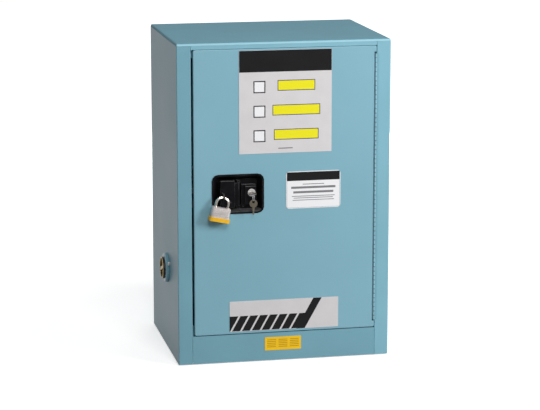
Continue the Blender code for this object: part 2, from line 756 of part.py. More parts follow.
def door_box(centre, half_width, half_height):
    """The inner skin: a shallow box with a flange that closes the outer pan's folded edges."""
    flange_y = DOOR_FACE + DOOR_EDGE_DEPTH + SEAT + SHEET
    box_centre = ((BOX_LEFT + BOX_RIGHT) / 2, (BOX_BOTTOM + BOX_TOP) / 2)
    box_half = (BOX_RIGHT - BOX_LEFT) / 2
    box_half_height = (BOX_TOP - BOX_BOTTOM) / 2
    rings = [ring_xz(half_width - SHEET, half_height - SHEET, DOOR_CORNER - SHEET, centre, flange_y),
             ring_xz(box_half, box_half_height, DOOR_CORNER, box_centre, flange_y),
             ring_xz(box_half, box_half_height, DOOR_CORNER, box_centre, DOOR_REAR)]
    bm = loft(rings, close_start=False)
    point_outwards(bm, (0, 1, 0))
    box = keep(object_from(bm), "door_liner", "blue_paint", "door")
    thicken(box, SHEET)
    for x in (UPPER_ROD_X, LOWER_ROD_X):
        high = x == UPPER_ROD_X
        cut_round(box, [((x, ROD_Y, BOX_TOP if high else BOX_BOTTOM), "z", TIP_RADIUS + SEAT, WALL)], 12)
    cut_box(box, (BOX_LEFT - BOX_INSET, BOLT_FRONT - SEAT, BOLT_Z - BOLT_HALF - SEAT),
            (BOX_LEFT + BOX_INSET, BOLT_FRONT + ROD_THICKNESS + SEAT, BOLT_Z + BOLT_HALF + SEAT))


# Piano hinge: two leaves with knuckles curled round one pin
KNUCKLE_COUNT = 59
KNUCKLE_GAP = 0.0006
HINGE_LEAF_DEPTH = 0.0120
JOG_FAR = 0.0065
JOG_NEAR = 0.0045
HINGE_END_GAP = 0.0205
PIN_RADIUS = 0.001
CURL_STEPS = 6
CURL_TURN = math.radians(235)
HINGE_LOW = DOOR_BOTTOM + HINGE_END_GAP
HINGE_HIGH = DOOR_TOP - HINGE_END_GAP


def hinge():
    pitch = (HINGE_HIGH - HINGE_LOW) / KNUCKLE_COUNT
    inner = HINGE_X + KNUCKLE_RADIUS - HINGE_LEAF / 2
    door_x = DOOR_RIGHT + SEAT + HINGE_LEAF / 2
    jogged = [(door_x, HINGE_Y + HINGE_LEAF_DEPTH), (door_x, HINGE_Y + JOG_FAR)]
    hinge_leaf("hinge_frame_leaf", 1, 0, pitch, [(inner, HINGE_Y + HINGE_LEAF_DEPTH)], None)
    hinge_leaf("hinge_door_leaf", -1, 1, pitch, jogged, "door")
    middle = (HINGE_HIGH + HINGE_LOW) / 2
    rod("hinge_pin", "zinc_steel", (HINGE_X, HINGE_Y, middle), "z", PIN_RADIUS, HINGE_HIGH - HINGE_LOW,
        segments=10)


def hinge_leaf(name, side, parity, pitch, free_edge, pivot_name):
    """A leaf whose line runs from its free edge to the barrel and curls round the pin."""
    curl = KNUCKLE_RADIUS - HINGE_LEAF / 2
    flat_x = HINGE_X + side * curl
    line = free_edge + [(flat_x, HINGE_Y + JOG_NEAR), (flat_x, HINGE_Y + KNUCKLE_RADIUS + KNUCKLE_GAP),
                        (flat_x, HINGE_Y)]
    for step in range(1, CURL_STEPS + 1):
        turn = step / CURL_STEPS * CURL_TURN
        line.append((HINGE_X + side * curl * math.cos(turn), HINGE_Y - curl * math.sin(turn)))
    bm = bmesh.new()
    verts = [bm.verts.new((x, y, HINGE_LOW)) for x, y in line]
    edges = [bm.edges.new(pair) for pair in zip(verts, verts[1:])]
    rows = hinge_rows(pitch)
    for low, high in zip(rows, rows[1:]):
        made = bmesh.ops.extrude_edge_only(bm, edges=edges)["geom"]
        fresh = [g for g in made if isinstance(g, bmesh.types.BMVert)]
        bmesh.ops.translate(bm, vec=(0, 0, high - low), verts=fresh)
        edges = [g for g in made if isinstance(g, bmesh.types.BMEdge) and abs(g.verts[0].co.z
                                                                              - g.verts[1].co.z) < SEAT]
    missing = []
    for face in bm.faces:
        middle = face.calc_center_median()
        if middle.y - HINGE_Y < KNUCKLE_RADIUS:
            place = (middle.z - HINGE_LOW) / pitch
            own = int(place) % 2 == parity
            in_gap = min(place % 1, 1 - place % 1) * pitch < KNUCKLE_GAP / 2
            if in_gap or not own:
                missing.append(face)
    bmesh.ops.delete(bm, geom=missing, context="FACES")
    bmesh.ops.recalc_face_normals(bm, faces=bm.faces)
    leaf = keep(object_from(bm), name, "zinc_steel", pivot_name)
    thicken(leaf, HINGE_LEAF, 0)


def hinge_rows(pitch):
    """The heights where a leaf's knuckles begin and end."""
    rows = [HINGE_LOW]
    for i in range(1, KNUCKLE_COUNT):
        rows += [HINGE_LOW + i * pitch - KNUCKLE_GAP / 2, HINGE_LOW + i * pitch + KNUCKLE_GAP / 2]
    return rows + [HINGE_HIGH]


# Label plates, bare of words
PLATE_THICKNESS = 0.0005
LABEL_HALF_WIDTH = 0.128
LABEL_LOW = 0.585
LABEL_HIGH = 0.8665
LABEL_X = 0.002
SMALL_LABEL_X = 0.080
SMALL_LABEL_Z = 0.4805
SMALL_LABEL_HALF_WIDTH = 0.076
SMALL_LABEL_HALF_HEIGHT = 0.0515
SMALL_LABEL_CORNER = 0.008
STRIPE_LABEL_X = -0.001
STRIPE_LABEL_LOW = 0.0900
STRIPE_LABEL_HIGH = 0.1755
STRIPE_LABEL_HALF_WIDTH = 0.153
RAIL_LABEL_X = -0.004
RAIL_LABEL_Z = 0.050
RAIL_LABEL_HALF_WIDTH = 0.051
RAIL_LABEL_HALF_HEIGHT = 0.019
LABEL_CORNER = 0.0015


def labels():
    plate("door_label", "silver_plate", (LABEL_X, (LABEL_LOW + LABEL_HIGH) / 2), LABEL_HALF_WIDTH,
          (LABEL_HIGH - LABEL_LOW) / 2, LABEL_CORNER, DOOR_FACE, "door")
    plate("small_label", "white_plate", (SMALL_LABEL_X, SMALL_LABEL_Z), SMALL_LABEL_HALF_WIDTH,
          SMALL_LABEL_HALF_HEIGHT, SMALL_LABEL_CORNER, DOOR_FACE, "door")
    plate("stripe_label", "silver_plate", (STRIPE_LABEL_X, (STRIPE_LABEL_LOW + STRIPE_LABEL_HIGH) / 2),
          STRIPE_LABEL_HALF_WIDTH, (STRIPE_LABEL_HIGH - STRIPE_LABEL_LOW) / 2, LABEL_CORNER, DOOR_FACE,
          "door")
    plate("rail_label", "yellow_plate", (RAIL_LABEL_X, RAIL_LABEL_Z), RAIL_LABEL_HALF_WIDTH,
          RAIL_LABEL_HALF_HEIGHT, LABEL_CORNER, FRONT)


# Handle dish, a black casting let into the door, with two ears for the paddle's pin
DISH_HALF_WIDTH = 0.072
DISH_HALF_HEIGHT = 0.055
DISH_CORNER = 0.018
DISH_RIM = 0.005
DISH_RIM_PROUD = 0.0018
DISH_DEPTH = 0.021
DISH_WALL = 0.002
FLOOR_LEFT_REACH = 0.0495
FLOOR_RIGHT_REACH = 0.0555
FLOOR_DROP = 0.0450
FLOOR_RISE = 0.0375
FLOOR_LEFT = DISH_X - FLOOR_LEFT_REACH
FLOOR_RIGHT = DISH_X + FLOOR_RIGHT_REACH
FLOOR_LOW = DISH_Z - FLOOR_DROP
FLOOR_HIGH = DISH_Z + FLOOR_RISE
FLOOR_CORNER = 0.006
EAR_HALF = 0.004
EAR_HEIGHT = 0.006
EAR_DROP = 0.0392
EAR_RISE = 0.0300
EAR_LOW = DISH_Z - EAR_DROP
EAR_HIGH = DISH_Z + EAR_RISE
PADDLE_PIN_RADIUS = 0.0025
PIN_LOW = EAR_LOW + EAR_HEIGHT / 3
PIN_HIGH = EAR_HIGH + EAR_HEIGHT * 2 / 3
DISH_FLOOR = DOOR_FACE + DISH_DEPTH
BARREL_RADIUS = 0.009


def handle_dish():
    centre = (DISH_X, DISH_Z)
    mouth_half = (DISH_HALF_WIDTH - DISH_RIM, DISH_HALF_HEIGHT - DISH_RIM)
    mouth_corner = DISH_CORNER - DISH_RIM
    floor_centre = ((FLOOR_LEFT + FLOOR_RIGHT) / 2, (FLOOR_LOW + FLOOR_HIGH) / 2)
    floor_half = ((FLOOR_RIGHT - FLOOR_LEFT) / 2, (FLOOR_HIGH - FLOOR_LOW) / 2)
    rim = DOOR_FACE - DISH_RIM_PROUD
    inner = [ring_xz(DISH_HALF_WIDTH, DISH_HALF_HEIGHT, DISH_CORNER, centre, rim + DISH_RIM_PROUD - SEAT),
             ring_xz(DISH_HALF_WIDTH, DISH_HALF_HEIGHT, DISH_CORNER, centre, rim + SEAT),
             ring_xz(DISH_HALF_WIDTH - SEAT, DISH_HALF_HEIGHT - SEAT, DISH_CORNER - SEAT, centre, rim),
             ring_xz(mouth_half[0], mouth_half[1], mouth_corner, centre, rim),
             ring_xz(floor_half[0], floor_half[1], FLOOR_CORNER, floor_centre, DISH_FLOOR)]
    outer = [ring_xz(floor_half[0] + DISH_WALL, floor_half[1] + DISH_WALL, FLOOR_CORNER, floor_centre,
                     DISH_FLOOR + DISH_WALL),
             ring_xz(mouth_half[0] + DISH_WALL, mouth_half[1] + DISH_WALL, mouth_corner, centre,
                     DOOR_FACE - SEAT)]
    dish = keep(object_from(cupped(inner + outer, len(inner) - 1)), "handle_dish", "black_casting", "door")
    front = PADDLE_Y - EAR_HALF
    for low in (EAR_LOW, EAR_HIGH):
        join_box(dish, (PADDLE_X - EAR_HALF, front, low),
                 (PADDLE_X + EAR_HALF, DISH_FLOOR + DISH_WALL / 2, low + EAR_HEIGHT))
    pin_hole = ((PADDLE_X, PADDLE_Y, (PIN_LOW + PIN_HIGH) / 2), "z", PADDLE_PIN_RADIUS + SEAT,
                PIN_HIGH - PIN_LOW + 2 * SEAT)
    barrel_hole = ((LOCK_X, DISH_FLOOR, LOCK_Z), "y", BARREL_RADIUS + SEAT, 2 * DISH_DEPTH)
    cut_round(dish, [pin_hole, barrel_hole], 24)
    cut_box(dish, (ARM_SLOT_LEFT, DISH_FLOOR - CUT_OVERRUN, ARM_Z - ARM_HALF_HEIGHT - ARM_PLAY),
            (ARM_SLOT_RIGHT, DISH_FLOOR + DISH_WALL + CUT_OVERRUN, ARM_Z + ARM_HALF_HEIGHT + ARM_PLAY))


# Paddle: a block on a vertical pin at its right, with a finger edge at its left and a driving arm
PADDLE_REACH = 0.0490
PADDLE_SHOULDER_REACH = 0.0085
PADDLE_DROP = 0.0385
PADDLE_RISE = 0.0365
PADDLE_LEFT = DISH_X - PADDLE_REACH
PADDLE_SHOULDER = DISH_X - PADDLE_SHOULDER_REACH
PADDLE_LOW = DISH_Z - PADDLE_DROP
PADDLE_HIGH = DISH_Z + PADDLE_RISE
PADDLE_FRONT_BACK = 0.0005
PADDLE_THICKNESS = 0.009
PADDLE_EDGE = 0.0015
PADDLE_BARREL = 0.005
PADDLE_END_PLAY = 0.0005
ARM_HALF = 0.0015
ARM_LENGTH = 0.026
ARM_HALF_HEIGHT = 0.0022
ARM_PLAY = 0.001
ARM_Z = EAR_LOW + EAR_HEIGHT + 2 * PADDLE_END_PLAY + ARM_HALF_HEIGHT
ARM_SLOT_LEFT = PADDLE_X - 0.0135
ARM_SLOT_RIGHT = PADDLE_X + 0.0030
LUG_HALF = 0.0015
LUG_RADIUS = 0.009
LUG_HOLE = 0.005
SHACKLE_WIRE = 0.00375


def paddle():
    front = DOOR_FACE + PADDLE_FRONT_BACK
    back = front + PADDLE_THICKNESS
    bm = bmesh.new()
    add_box(bm, (PADDLE_LEFT, front, PADDLE_LOW), (PADDLE_SHOULDER, back, PADDLE_HIGH), PADDLE_EDGE)
    handle = keep(object_from(bm), "handle_paddle", "black_casting", "paddle")
    low = EAR_LOW + EAR_HEIGHT + PADDLE_END_PLAY
    high = EAR_HIGH - PADDLE_END_PLAY
    join_box(handle, (PADDLE_SHOULDER - PADDLE_BARREL, front + PADDLE_EDGE, low),
             (PADDLE_X, back - 2 * PADDLE_EDGE, high))
    join_round(handle, (PADDLE_X, PADDLE_Y, (low + high) / 2), "z", PADDLE_BARREL, high - low)
    join_box(handle, (PADDLE_X - ARM_HALF, PADDLE_Y, ARM_Z - ARM_HALF_HEIGHT),
             (PADDLE_X + ARM_HALF, PADDLE_Y + ARM_LENGTH, ARM_Z + ARM_HALF_HEIGHT))
    hole_z = SHACKLE_Z + LUG_HOLE - SHACKLE_WIRE - 3 * SEAT
    join_box(handle, (SHACKLE_X - LUG_HALF, SHACKLE_Y, hole_z - LUG_RADIUS),
             (SHACKLE_X + LUG_HALF, front + PADDLE_EDGE, hole_z + LUG_RADIUS))
    join_round(handle, (SHACKLE_X, SHACKLE_Y, hole_z), "x", LUG_RADIUS, 2 * LUG_HALF)
    cut_round(handle, [((SHACKLE_X, SHACKLE_Y, hole_z), "x", LUG_HOLE, LUG_RADIUS),
                       ((PADDLE_X, PADDLE_Y, DISH_Z), "z", PADDLE_PIN_RADIUS + SEAT, 4 * PADDLE_HIGH)], 14)
    rod("paddle_pin", "zinc_steel", (PADDLE_X, PADDLE_Y, (PIN_LOW + PIN_HIGH) / 2), "z",
        PADDLE_PIN_RADIUS, PIN_HIGH - PIN_LOW, "door", 12)


# Key lock: a housing block in the dish, the barrel through it, the turning plug with its key and cam
HOUSING_LEFT_REACH = 0.0275
HOUSING_RIGHT_REACH = 0.0125
HOUSING_DROP = 0.0360
HOUSING_RISE = 0.0220
HOUSING_LEFT = LOCK_X - HOUSING_LEFT_REACH
HOUSING_RIGHT = LOCK_X + HOUSING_RIGHT_REACH
HOUSING_LOW = LOCK_Z - HOUSING_DROP
HOUSING_HIGH = LOCK_Z + HOUSING_RISE
HOUSING_STEP = 0.005
HOUSING_SHELF = 0.008
HOUSING_FRONT = 0.002
HOUSING_EDGE = 0.001
BARREL_HEAD = 0.0108
BARREL_TAIL = 0.003
PLUG_RADIUS = 0.0068
KEY_HALF_THICKNESS = 0.001
BLADE_HALF = 0.0040
BLADE_LENGTH = 0.018
NECK_HALF = 0.0045
CAM_REACH = 0.020
CAM_HALF = 0.005
CAM_THICKNESS = 0.002
BARREL_REAR = DISH_FLOOR + DISH_WALL + BARREL_TAIL


def key_lock():
    housing_front = DOOR_FACE + HOUSING_FRONT
    shelf = housing_front + HOUSING_SHELF
    housing_back = DISH_FLOOR - SEAT
    bm = bmesh.new()
    add_box(bm, (HOUSING_LEFT, shelf, HOUSING_LOW), (HOUSING_RIGHT, housing_back, HOUSING_HIGH), HOUSING_EDGE)
    housing = keep(object_from(bm), "lock_housing", "black_casting", "door")
    join_box(housing, (HOUSING_LEFT + 2 * HOUSING_STEP, housing_front, HOUSING_LOW + HOUSING_STEP),
             (HOUSING_RIGHT - SEAT, shelf + HOUSING_STEP, HOUSING_HIGH - HOUSING_STEP), HOUSING_EDGE)
    cut_round(housing, [((LOCK_X, shelf, LOCK_Z), "y", BARREL_RADIUS + SEAT, 4 * DISH_DEPTH)], 24)
    head_back = housing_front - LOCK_FACE - SEAT
    length = BARREL_REAR - LOCK_FACE
    bore = PLUG_RADIUS + SEAT
    turned("lock_barrel", "chrome", [
        (BARREL_HEAD - HOUSING_EDGE, 0), (BARREL_HEAD, -HOUSING_EDGE), (BARREL_HEAD, -head_back),
        (BARREL_RADIUS, -head_back), (BARREL_RADIUS, -length), (bore, -length), (bore, 0)],
        (LOCK_X, LOCK_FACE, LOCK_Z), "-y", closed=True, steps=24, pivot_name="door")
    plug_and_key(length)


def plug_and_key(length):
    plug = turned("lock_plug", "chrome", [
        (0, -SEAT), (PLUG_RADIUS - SEAT, -SEAT), (PLUG_RADIUS, -2 * SEAT), (PLUG_RADIUS, -length),
        (0, -length)], (LOCK_X, LOCK_FACE, LOCK_Z), "-y", steps=20, pivot_name="lock")
    half = KEY_HALF_THICKNESS + SEAT
    width = BLADE_HALF + SEAT
    cut_box(plug, (LOCK_X - width, LOCK_FACE - CUT_OVERRUN, LOCK_Z - half),
            (LOCK_X + width, LOCK_FACE + BLADE_LENGTH + SEAT, LOCK_Z + half))
    bow_y = LOCK_FACE - KEY_NECK - BOW_RADIUS
    key = rod("door_key", "key_nickel", (LOCK_X, bow_y, LOCK_Z), "z", BOW_RADIUS, 2 * KEY_HALF_THICKNESS,
              "lock", 20)
    join_box(key, (LOCK_X - NECK_HALF, bow_y, LOCK_Z - KEY_HALF_THICKNESS / 2),
             (LOCK_X + NECK_HALF, LOCK_FACE - SEAT, LOCK_Z + KEY_HALF_THICKNESS / 2))
    join_box(key, (LOCK_X - BLADE_HALF, bow_y, LOCK_Z - KEY_HALF_THICKNESS * 3 / 4),
             (LOCK_X + BLADE_HALF, LOCK_FACE + BLADE_LENGTH, LOCK_Z + KEY_HALF_THICKNESS * 3 / 4))
    hole_y = bow_y - BOW_RADIUS + BOW_WEB + BOW_HOLE
    cut_round(key, [((LOCK_X, hole_y, LOCK_Z), "z", BOW_HOLE, 4 * BOW_HOLE)], 10)
    cam_y = BARREL_REAR + SEAT
    block("lock_cam", "zinc_steel", (LOCK_X - CAM_HALF, cam_y, LOCK_Z - CAM_HALF),
          (LOCK_X + CAM_HALF, cam_y + CAM_THICKNESS, LOCK_Z + CAM_REACH), "lock")


SPARE_BLADE_LENGTH = 0.020
SPARE_BLADE_HALF = 0.0038
SPARE_TIP_SHARE = 0.4


def ring_and_spare_key():
    """A small ring through the bow's hole, and the spare key hanging from it."""
    top = LOCK_Z + KEY_HALF_THICKNESS + SEAT
    sag = RING_RADIUS - RING_WIRE - math.sqrt((RING_RADIUS - RING_WIRE) ** 2 - (BOW_WEB / 2) ** 2)
    ring_z = top + sag + RING_WIRE - RING_RADIUS
    bpy.ops.mesh.primitive_torus_add(major_segments=22, minor_segments=6, major_radius=RING_RADIUS,
                                     minor_radius=RING_WIRE, rotation=(0, math.pi / 2, 0))
    ring = keep(bpy.context.active_object, "key_ring", "zinc_steel", "ring", (LOCK_X, RING_TOP_Y, ring_z))
    ring.rotation_euler = (0, math.pi / 2, 0)
    hole_z = ring_z - RING_RADIUS + RING_WIRE + SEAT - BOW_HOLE
    bow_z = hole_z + BOW_HOLE + BOW_WEB - BOW_RADIUS
    half = KEY_HALF_THICKNESS
    key = rod("spare_key", "key_nickel", (LOCK_X, RING_TOP_Y, bow_z), "y", BOW_RADIUS, 2 * half, "ring", 20)
    tip = bow_z - BOW_RADIUS - SPARE_BLADE_LENGTH
    bm = bmesh.new()
    add_box(bm, (LOCK_X - SPARE_BLADE_HALF, RING_TOP_Y - half * 3 / 4, tip),
            (LOCK_X + SPARE_BLADE_HALF, RING_TOP_Y + half * 3 / 4, bow_z))
    for vert in bm.verts:
        if vert.co.z < bow_z - BOW_RADIUS:
            vert.co.x = LOCK_X + (vert.co.x - LOCK_X) * SPARE_TIP_SHARE
    boolean(key, cutter_from(bm, "spare_key"), "UNION")
    cut_round(key, [((LOCK_X, RING_TOP_Y, hole_z), "y", BOW_HOLE, 4 * BOW_HOLE)], 10)


# Latch works inside the door: a hub on a post, two rods and a centre bolt driven by its pins
ROD_THICKNESS = 0.003
ROD_HALF = 0.007
HUB_FRONT = DOOR_FACE + 0.0260
HUB_THICKNESS = 0.003
HUB_PIN_REACH = 0.0167
HUB_TAB_REACH = 0.0212
HUB_TAB_HALF = 0.0025
HUB_HALF_TURN = math.radians(21)
HUB_PIN_RADIUS = 0.0025
HUB_RADIUS = 0.0195
HUB_ARM_DROP = 0.0222
HUB_X = PADDLE_X - ARM_HALF - SEAT - HUB_TAB_HALF - HUB_TAB_REACH * math.sin(HUB_HALF_TURN)
HUB_Z = ARM_Z + HUB_ARM_DROP
POST_RADIUS = 0.004
ROD_FRONT = HUB_FRONT + HUB_THICKNESS + SEAT
ROD_Y = ROD_FRONT + ROD_THICKNESS / 2
BOLT_FRONT = ROD_FRONT + ROD_THICKNESS + SEAT
BOLT_HALF = 0.006
BOLT_Z = HUB_Z + HUB_PIN_REACH
UPPER_ROD_X = HUB_X + HUB_PIN_REACH
LOWER_ROD_X = HUB_X - HUB_PIN_REACH
PIN_RISE = HUB_PIN_REACH * math.sin(HUB_HALF_TURN)
PIN_SWING = HUB_PIN_REACH * (1 - math.cos(HUB_HALF_TURN))
ROD_END = 0.008
TIP_RADIUS = 0.0045
TIP_LENGTH = 0.020
STRIKE_THICKNESS = 0.0015
TIP_CLEARANCE = 0.0006
BOLT_CLEARANCE = 0.0014
STRIKE_HALF = 0.014
STRIKE_DEPTH = 0.030
UPPER_TIP = CEILING - SEAT - STRIKE_THICKNESS - TIP_CLEARANCE
LOWER_TIP = SILL_TOP + SEAT + STRIKE_THICKNESS + TIP_CLEARANCE
BOLT_TIP = -OPENING_HALF + SEAT + STRIKE_THICKNESS + BOLT_CLEARANCE


def latch_hub():
    """A disc with three pins for the rods and the bolt, and a tab that the paddle's arm pushes."""
    middle = HUB_FRONT + HUB_THICKNESS / 2
    rear = HUB_FRONT + HUB_THICKNESS
    hub = rod("latch_hub", "zinc_steel", (HUB_X, middle, HUB_Z), "y", HUB_RADIUS, HUB_THICKNESS, "hub", 24)
    across = HUB_PIN_REACH * math.cos(HUB_HALF_TURN)
    pins = ((across, PIN_RISE, ROD_THICKNESS), (-across, -PIN_RISE, ROD_THICKNESS),
            (-PIN_RISE, across, 2 * ROD_THICKNESS + SEAT))
    for dx, dz, reach in pins:
        end = rear + reach + SEAT
        join_round(hub, (HUB_X + dx, (middle + end) / 2, HUB_Z + dz), "y", HUB_PIN_RADIUS, end - middle, 12)
    bm = bmesh.new()
    add_box(bm, (HUB_X - HUB_TAB_HALF, HUB_FRONT, HUB_Z - HUB_TAB_REACH),
            (HUB_X + HUB_TAB_HALF, rear, HUB_Z - HUB_PIN_REACH / 2))
    bmesh.ops.rotate(bm, cent=(HUB_X, middle, HUB_Z), matrix=Matrix.Rotation(-HUB_HALF_TURN, 3, "Y"),
                     verts=bm.verts)
    boolean(hub, cutter_from(bm, "latch_hub"), "UNION")
    cut_round(hub, [((HUB_X, HUB_FRONT, HUB_Z), "y", POST_RADIUS + SEAT, WALL)], 16)


def rods():
    """Two flat rods with round tips, and the flat centre bolt, each slotted for its hub pin."""
    slot_half = HUB_PIN_RADIUS + SEAT
    for name, x, direction, tip in (("upper_rod", UPPER_ROD_X, 1, UPPER_TIP),
                                    ("lower_rod", LOWER_ROD_X, -1, LOWER_TIP)):
        pin_z = HUB_Z + direction * PIN_RISE
        ends = sorted((pin_z - direction * ROD_END, tip - direction * TIP_LENGTH / 2))
        bar = block(name, "black_rod", (x - ROD_HALF, ROD_FRONT, ends[0]),
                    (x + ROD_HALF, ROD_FRONT + ROD_THICKNESS, ends[1]), "rods")
        join_round(bar, (x, ROD_Y, tip - direction * TIP_LENGTH / 2), "z", TIP_RADIUS, TIP_LENGTH, 12)
        low = (x - slot_half - PIN_SWING, ROD_FRONT - CUT_OVERRUN, pin_z - slot_half)
        high = (x + slot_half, ROD_FRONT + ROD_THICKNESS + CUT_OVERRUN, pin_z + slot_half)
        if direction < 0:
            low = (x - slot_half, low[1], low[2])
            high = (x + slot_half + PIN_SWING, high[1], high[2])
        cut_box(bar, low, high)
    pin_x = HUB_X - PIN_RISE
    bolt = block("centre_bolt", "zinc_steel", (BOLT_TIP, BOLT_FRONT, BOLT_Z - BOLT_HALF),
                 (pin_x + ROD_END, BOLT_FRONT + ROD_THICKNESS, BOLT_Z + BOLT_HALF), "rods")
    cut_box(bolt, (pin_x - slot_half, BOLT_FRONT - CUT_OVERRUN, BOLT_Z - slot_half - PIN_SWING),
            (pin_x + slot_half, BOLT_FRONT + ROD_THICKNESS + CUT_OVERRUN, BOLT_Z + slot_half))


GUIDE_HEIGHT = 0.012
GUIDE_WALL = 0.003
GUIDE_SHARE = 0.80
LINER_FACE = DOOR_REAR - SHEET - SEAT


def rod_guides():
    """Blocks on the inner skin that the rods slide through, near their tips."""
    half = ROD_HALF + SEAT
    for name, x, end in (("upper_rod_guide", UPPER_ROD_X, BOX_TOP),
                         ("lower_rod_guide", LOWER_ROD_X, BOX_BOTTOM)):
        z = HUB_Z + GUIDE_SHARE * (end - HUB_Z)
        guide = block(name, "zinc_steel", (x - half - GUIDE_WALL, ROD_FRONT - SEAT - GUIDE_WALL,
                                           z - GUIDE_HEIGHT / 2),
                      (x + half + GUIDE_WALL, LINER_FACE, z + GUIDE_HEIGHT / 2), "door")
        cut_box(guide, (x - half, ROD_FRONT - SEAT, z - GUIDE_HEIGHT),
                (x + half, ROD_FRONT + ROD_THICKNESS + SEAT, z + GUIDE_HEIGHT))


LATCH_PLATE_HALF = 0.034
LATCH_PLATE_THICKNESS = 0.002
SPRING_RADIUS = 0.0062
SPRING_WIRE = 0.0006
SPRING_TURNS = 3
SPRING_POINTS = 10


def latch_plate_and_spring():
    """The plate that carries the hub's post, and the coil spring round the post."""
    back = LINER_FACE
    front = back - LATCH_PLATE_THICKNESS
    low = (HUB_X - LATCH_PLATE_HALF, front, HUB_Z - LATCH_PLATE_HALF)
    high = (HUB_X + LATCH_PLATE_HALF, back, HUB_Z + LATCH_PLATE_HALF)
    latch_plate = block("latch_plate", "zinc_steel", low, high, "door")
    post_front = HUB_FRONT - SEAT
    join_round(latch_plate, (HUB_X, (post_front + back - SEAT) / 2, HUB_Z), "y", POST_RADIUS,
               back - SEAT - post_front, 16)
    start = HUB_FRONT + HUB_THICKNESS + SPRING_WIRE + SEAT
    end = front - SPRING_WIRE - SEAT
    count = SPRING_TURNS * SPRING_POINTS
    points = []
    for i in range(count + 1):
        turn = i / SPRING_POINTS * 2 * math.pi
        points.append((HUB_X + SPRING_RADIUS * math.cos(turn), start + (end - start) * i / count,
                       HUB_Z + SPRING_RADIUS * math.sin(turn)))
    wire("hub_spring", "zinc_steel", points, SPRING_WIRE, "door", detail=1)


def strikes():
    """Plates with a hole for each bolt, on the ceiling, on the sill and on the left wall."""
    front = FRONT + FRAME_REBATE + SHEET + 2 * SEAT
    back = front + STRIKE_DEPTH
    upper = ((UPPER_ROD_X - STRIKE_HALF, front, CEILING - SEAT - STRIKE_THICKNESS),
             (UPPER_ROD_X + STRIKE_HALF, back, CEILING - SEAT))
    lower = ((LOWER_ROD_X - STRIKE_HALF, FRONT + FRAME_REBATE, SILL_TOP + SEAT),
             (LOWER_ROD_X + STRIKE_HALF, back, SILL_TOP + SEAT + STRIKE_THICKNESS))
    cut_round(block("upper_strike", "zinc_steel", *upper),
              [((UPPER_ROD_X, ROD_Y, CEILING), "z", TIP_RADIUS + SEAT, WALL / 2)], 12)
    cut_round(block("lower_strike", "zinc_steel", *lower),
              [((LOWER_ROD_X, ROD_Y, SILL_TOP), "z", TIP_RADIUS + SEAT, WALL / 2)], 12)
    side = block("side_strike", "zinc_steel", (-OPENING_HALF + SEAT, front, BOLT_Z - STRIKE_HALF),
                 (-OPENING_HALF + SEAT + STRIKE_THICKNESS, back, BOLT_Z + STRIKE_HALF))
    cut_box(side, (-OPENING_HALF - CUT_OVERRUN, BOLT_FRONT - SEAT, BOLT_Z - BOLT_HALF - SEAT),
            (-OPENING_HALF + WALL / 2, BOLT_FRONT + ROD_THICKNESS + SEAT, BOLT_Z + BOLT_HALF + SEAT))


# Padlock, hanging askew from the paddle's lug
PADLOCK_TILT = math.radians(12)
SHACKLE_HALF_SPAN = 0.0168
SHACKLE_LEG = 0.0118
SHACKLE_STEPS = 10
SHACKLE_IN_BODY = 0.012
LOCK_BODY_HALF_WIDTH = 0.0255
LOCK_BODY_HALF_DEPTH = 0.012
LOCK_BODY_HEIGHT = 0.036
LOCK_BODY_CORNER = 0.006
LAMINATIONS = 6
LAMINATION_GROOVE = 0.0006
BUMPER_HALF_WIDTH = 0.0285
BUMPER_HEIGHT = 0.009
BUMPER_FLOOR = 0.0015
BUMPER_CORNER = 0.008


def hang(piece):
    """Hangs a padlock piece, drawn about the shackle's top, at its tilt."""
    piece.rotation_euler = (0, PADLOCK_TILT, 0)


def padlock():
    place = (SHACKLE_X, SHACKLE_Y, SHACKLE_Z)
    body_top = -(SHACKLE_HALF_SPAN + SHACKLE_LEG)
    arch = []
    for step in range(SHACKLE_STEPS + 1):
        turn = step / SHACKLE_STEPS * math.pi
        arch.append((SHACKLE_HALF_SPAN * math.cos(turn), 0, SHACKLE_HALF_SPAN * (math.sin(turn) - 1)))
    foot = body_top - SHACKLE_IN_BODY
    points = [(SHACKLE_HALF_SPAN, 0, foot)] + arch + [(-SHACKLE_HALF_SPAN, 0, foot)]
    hang(wire("padlock_shackle", "lock_steel", points, SHACKLE_WIRE, "padlock", place))
    hang(padlock_body(place, body_top))
    bottom = body_top - LOCK_BODY_HEIGHT
    rings = [level_ring(BUMPER_HALF_WIDTH, BUMPER_HALF_DEPTH, BUMPER_CORNER, z)
             for z in (bottom + BUMPER_HEIGHT, bottom - BUMPER_FLOOR - SEAT)]
    bumper = keep(object_from(loft(rings)), "padlock_bumper", "yellow_bumper", "padlock", place)
    hang(bumper)
    rings = [level_ring(LOCK_BODY_HALF_WIDTH + SEAT, LOCK_BODY_HALF_DEPTH + SEAT, LOCK_BODY_CORNER + SEAT, z)
             for z in (bottom + BUMPER_HEIGHT + CUT_OVERRUN, bottom - SEAT)]
    pocket = cutter_from(loft(rings), "bumper")
    pocket.location = place
    hang(pocket)
    boolean(bumper, pocket)


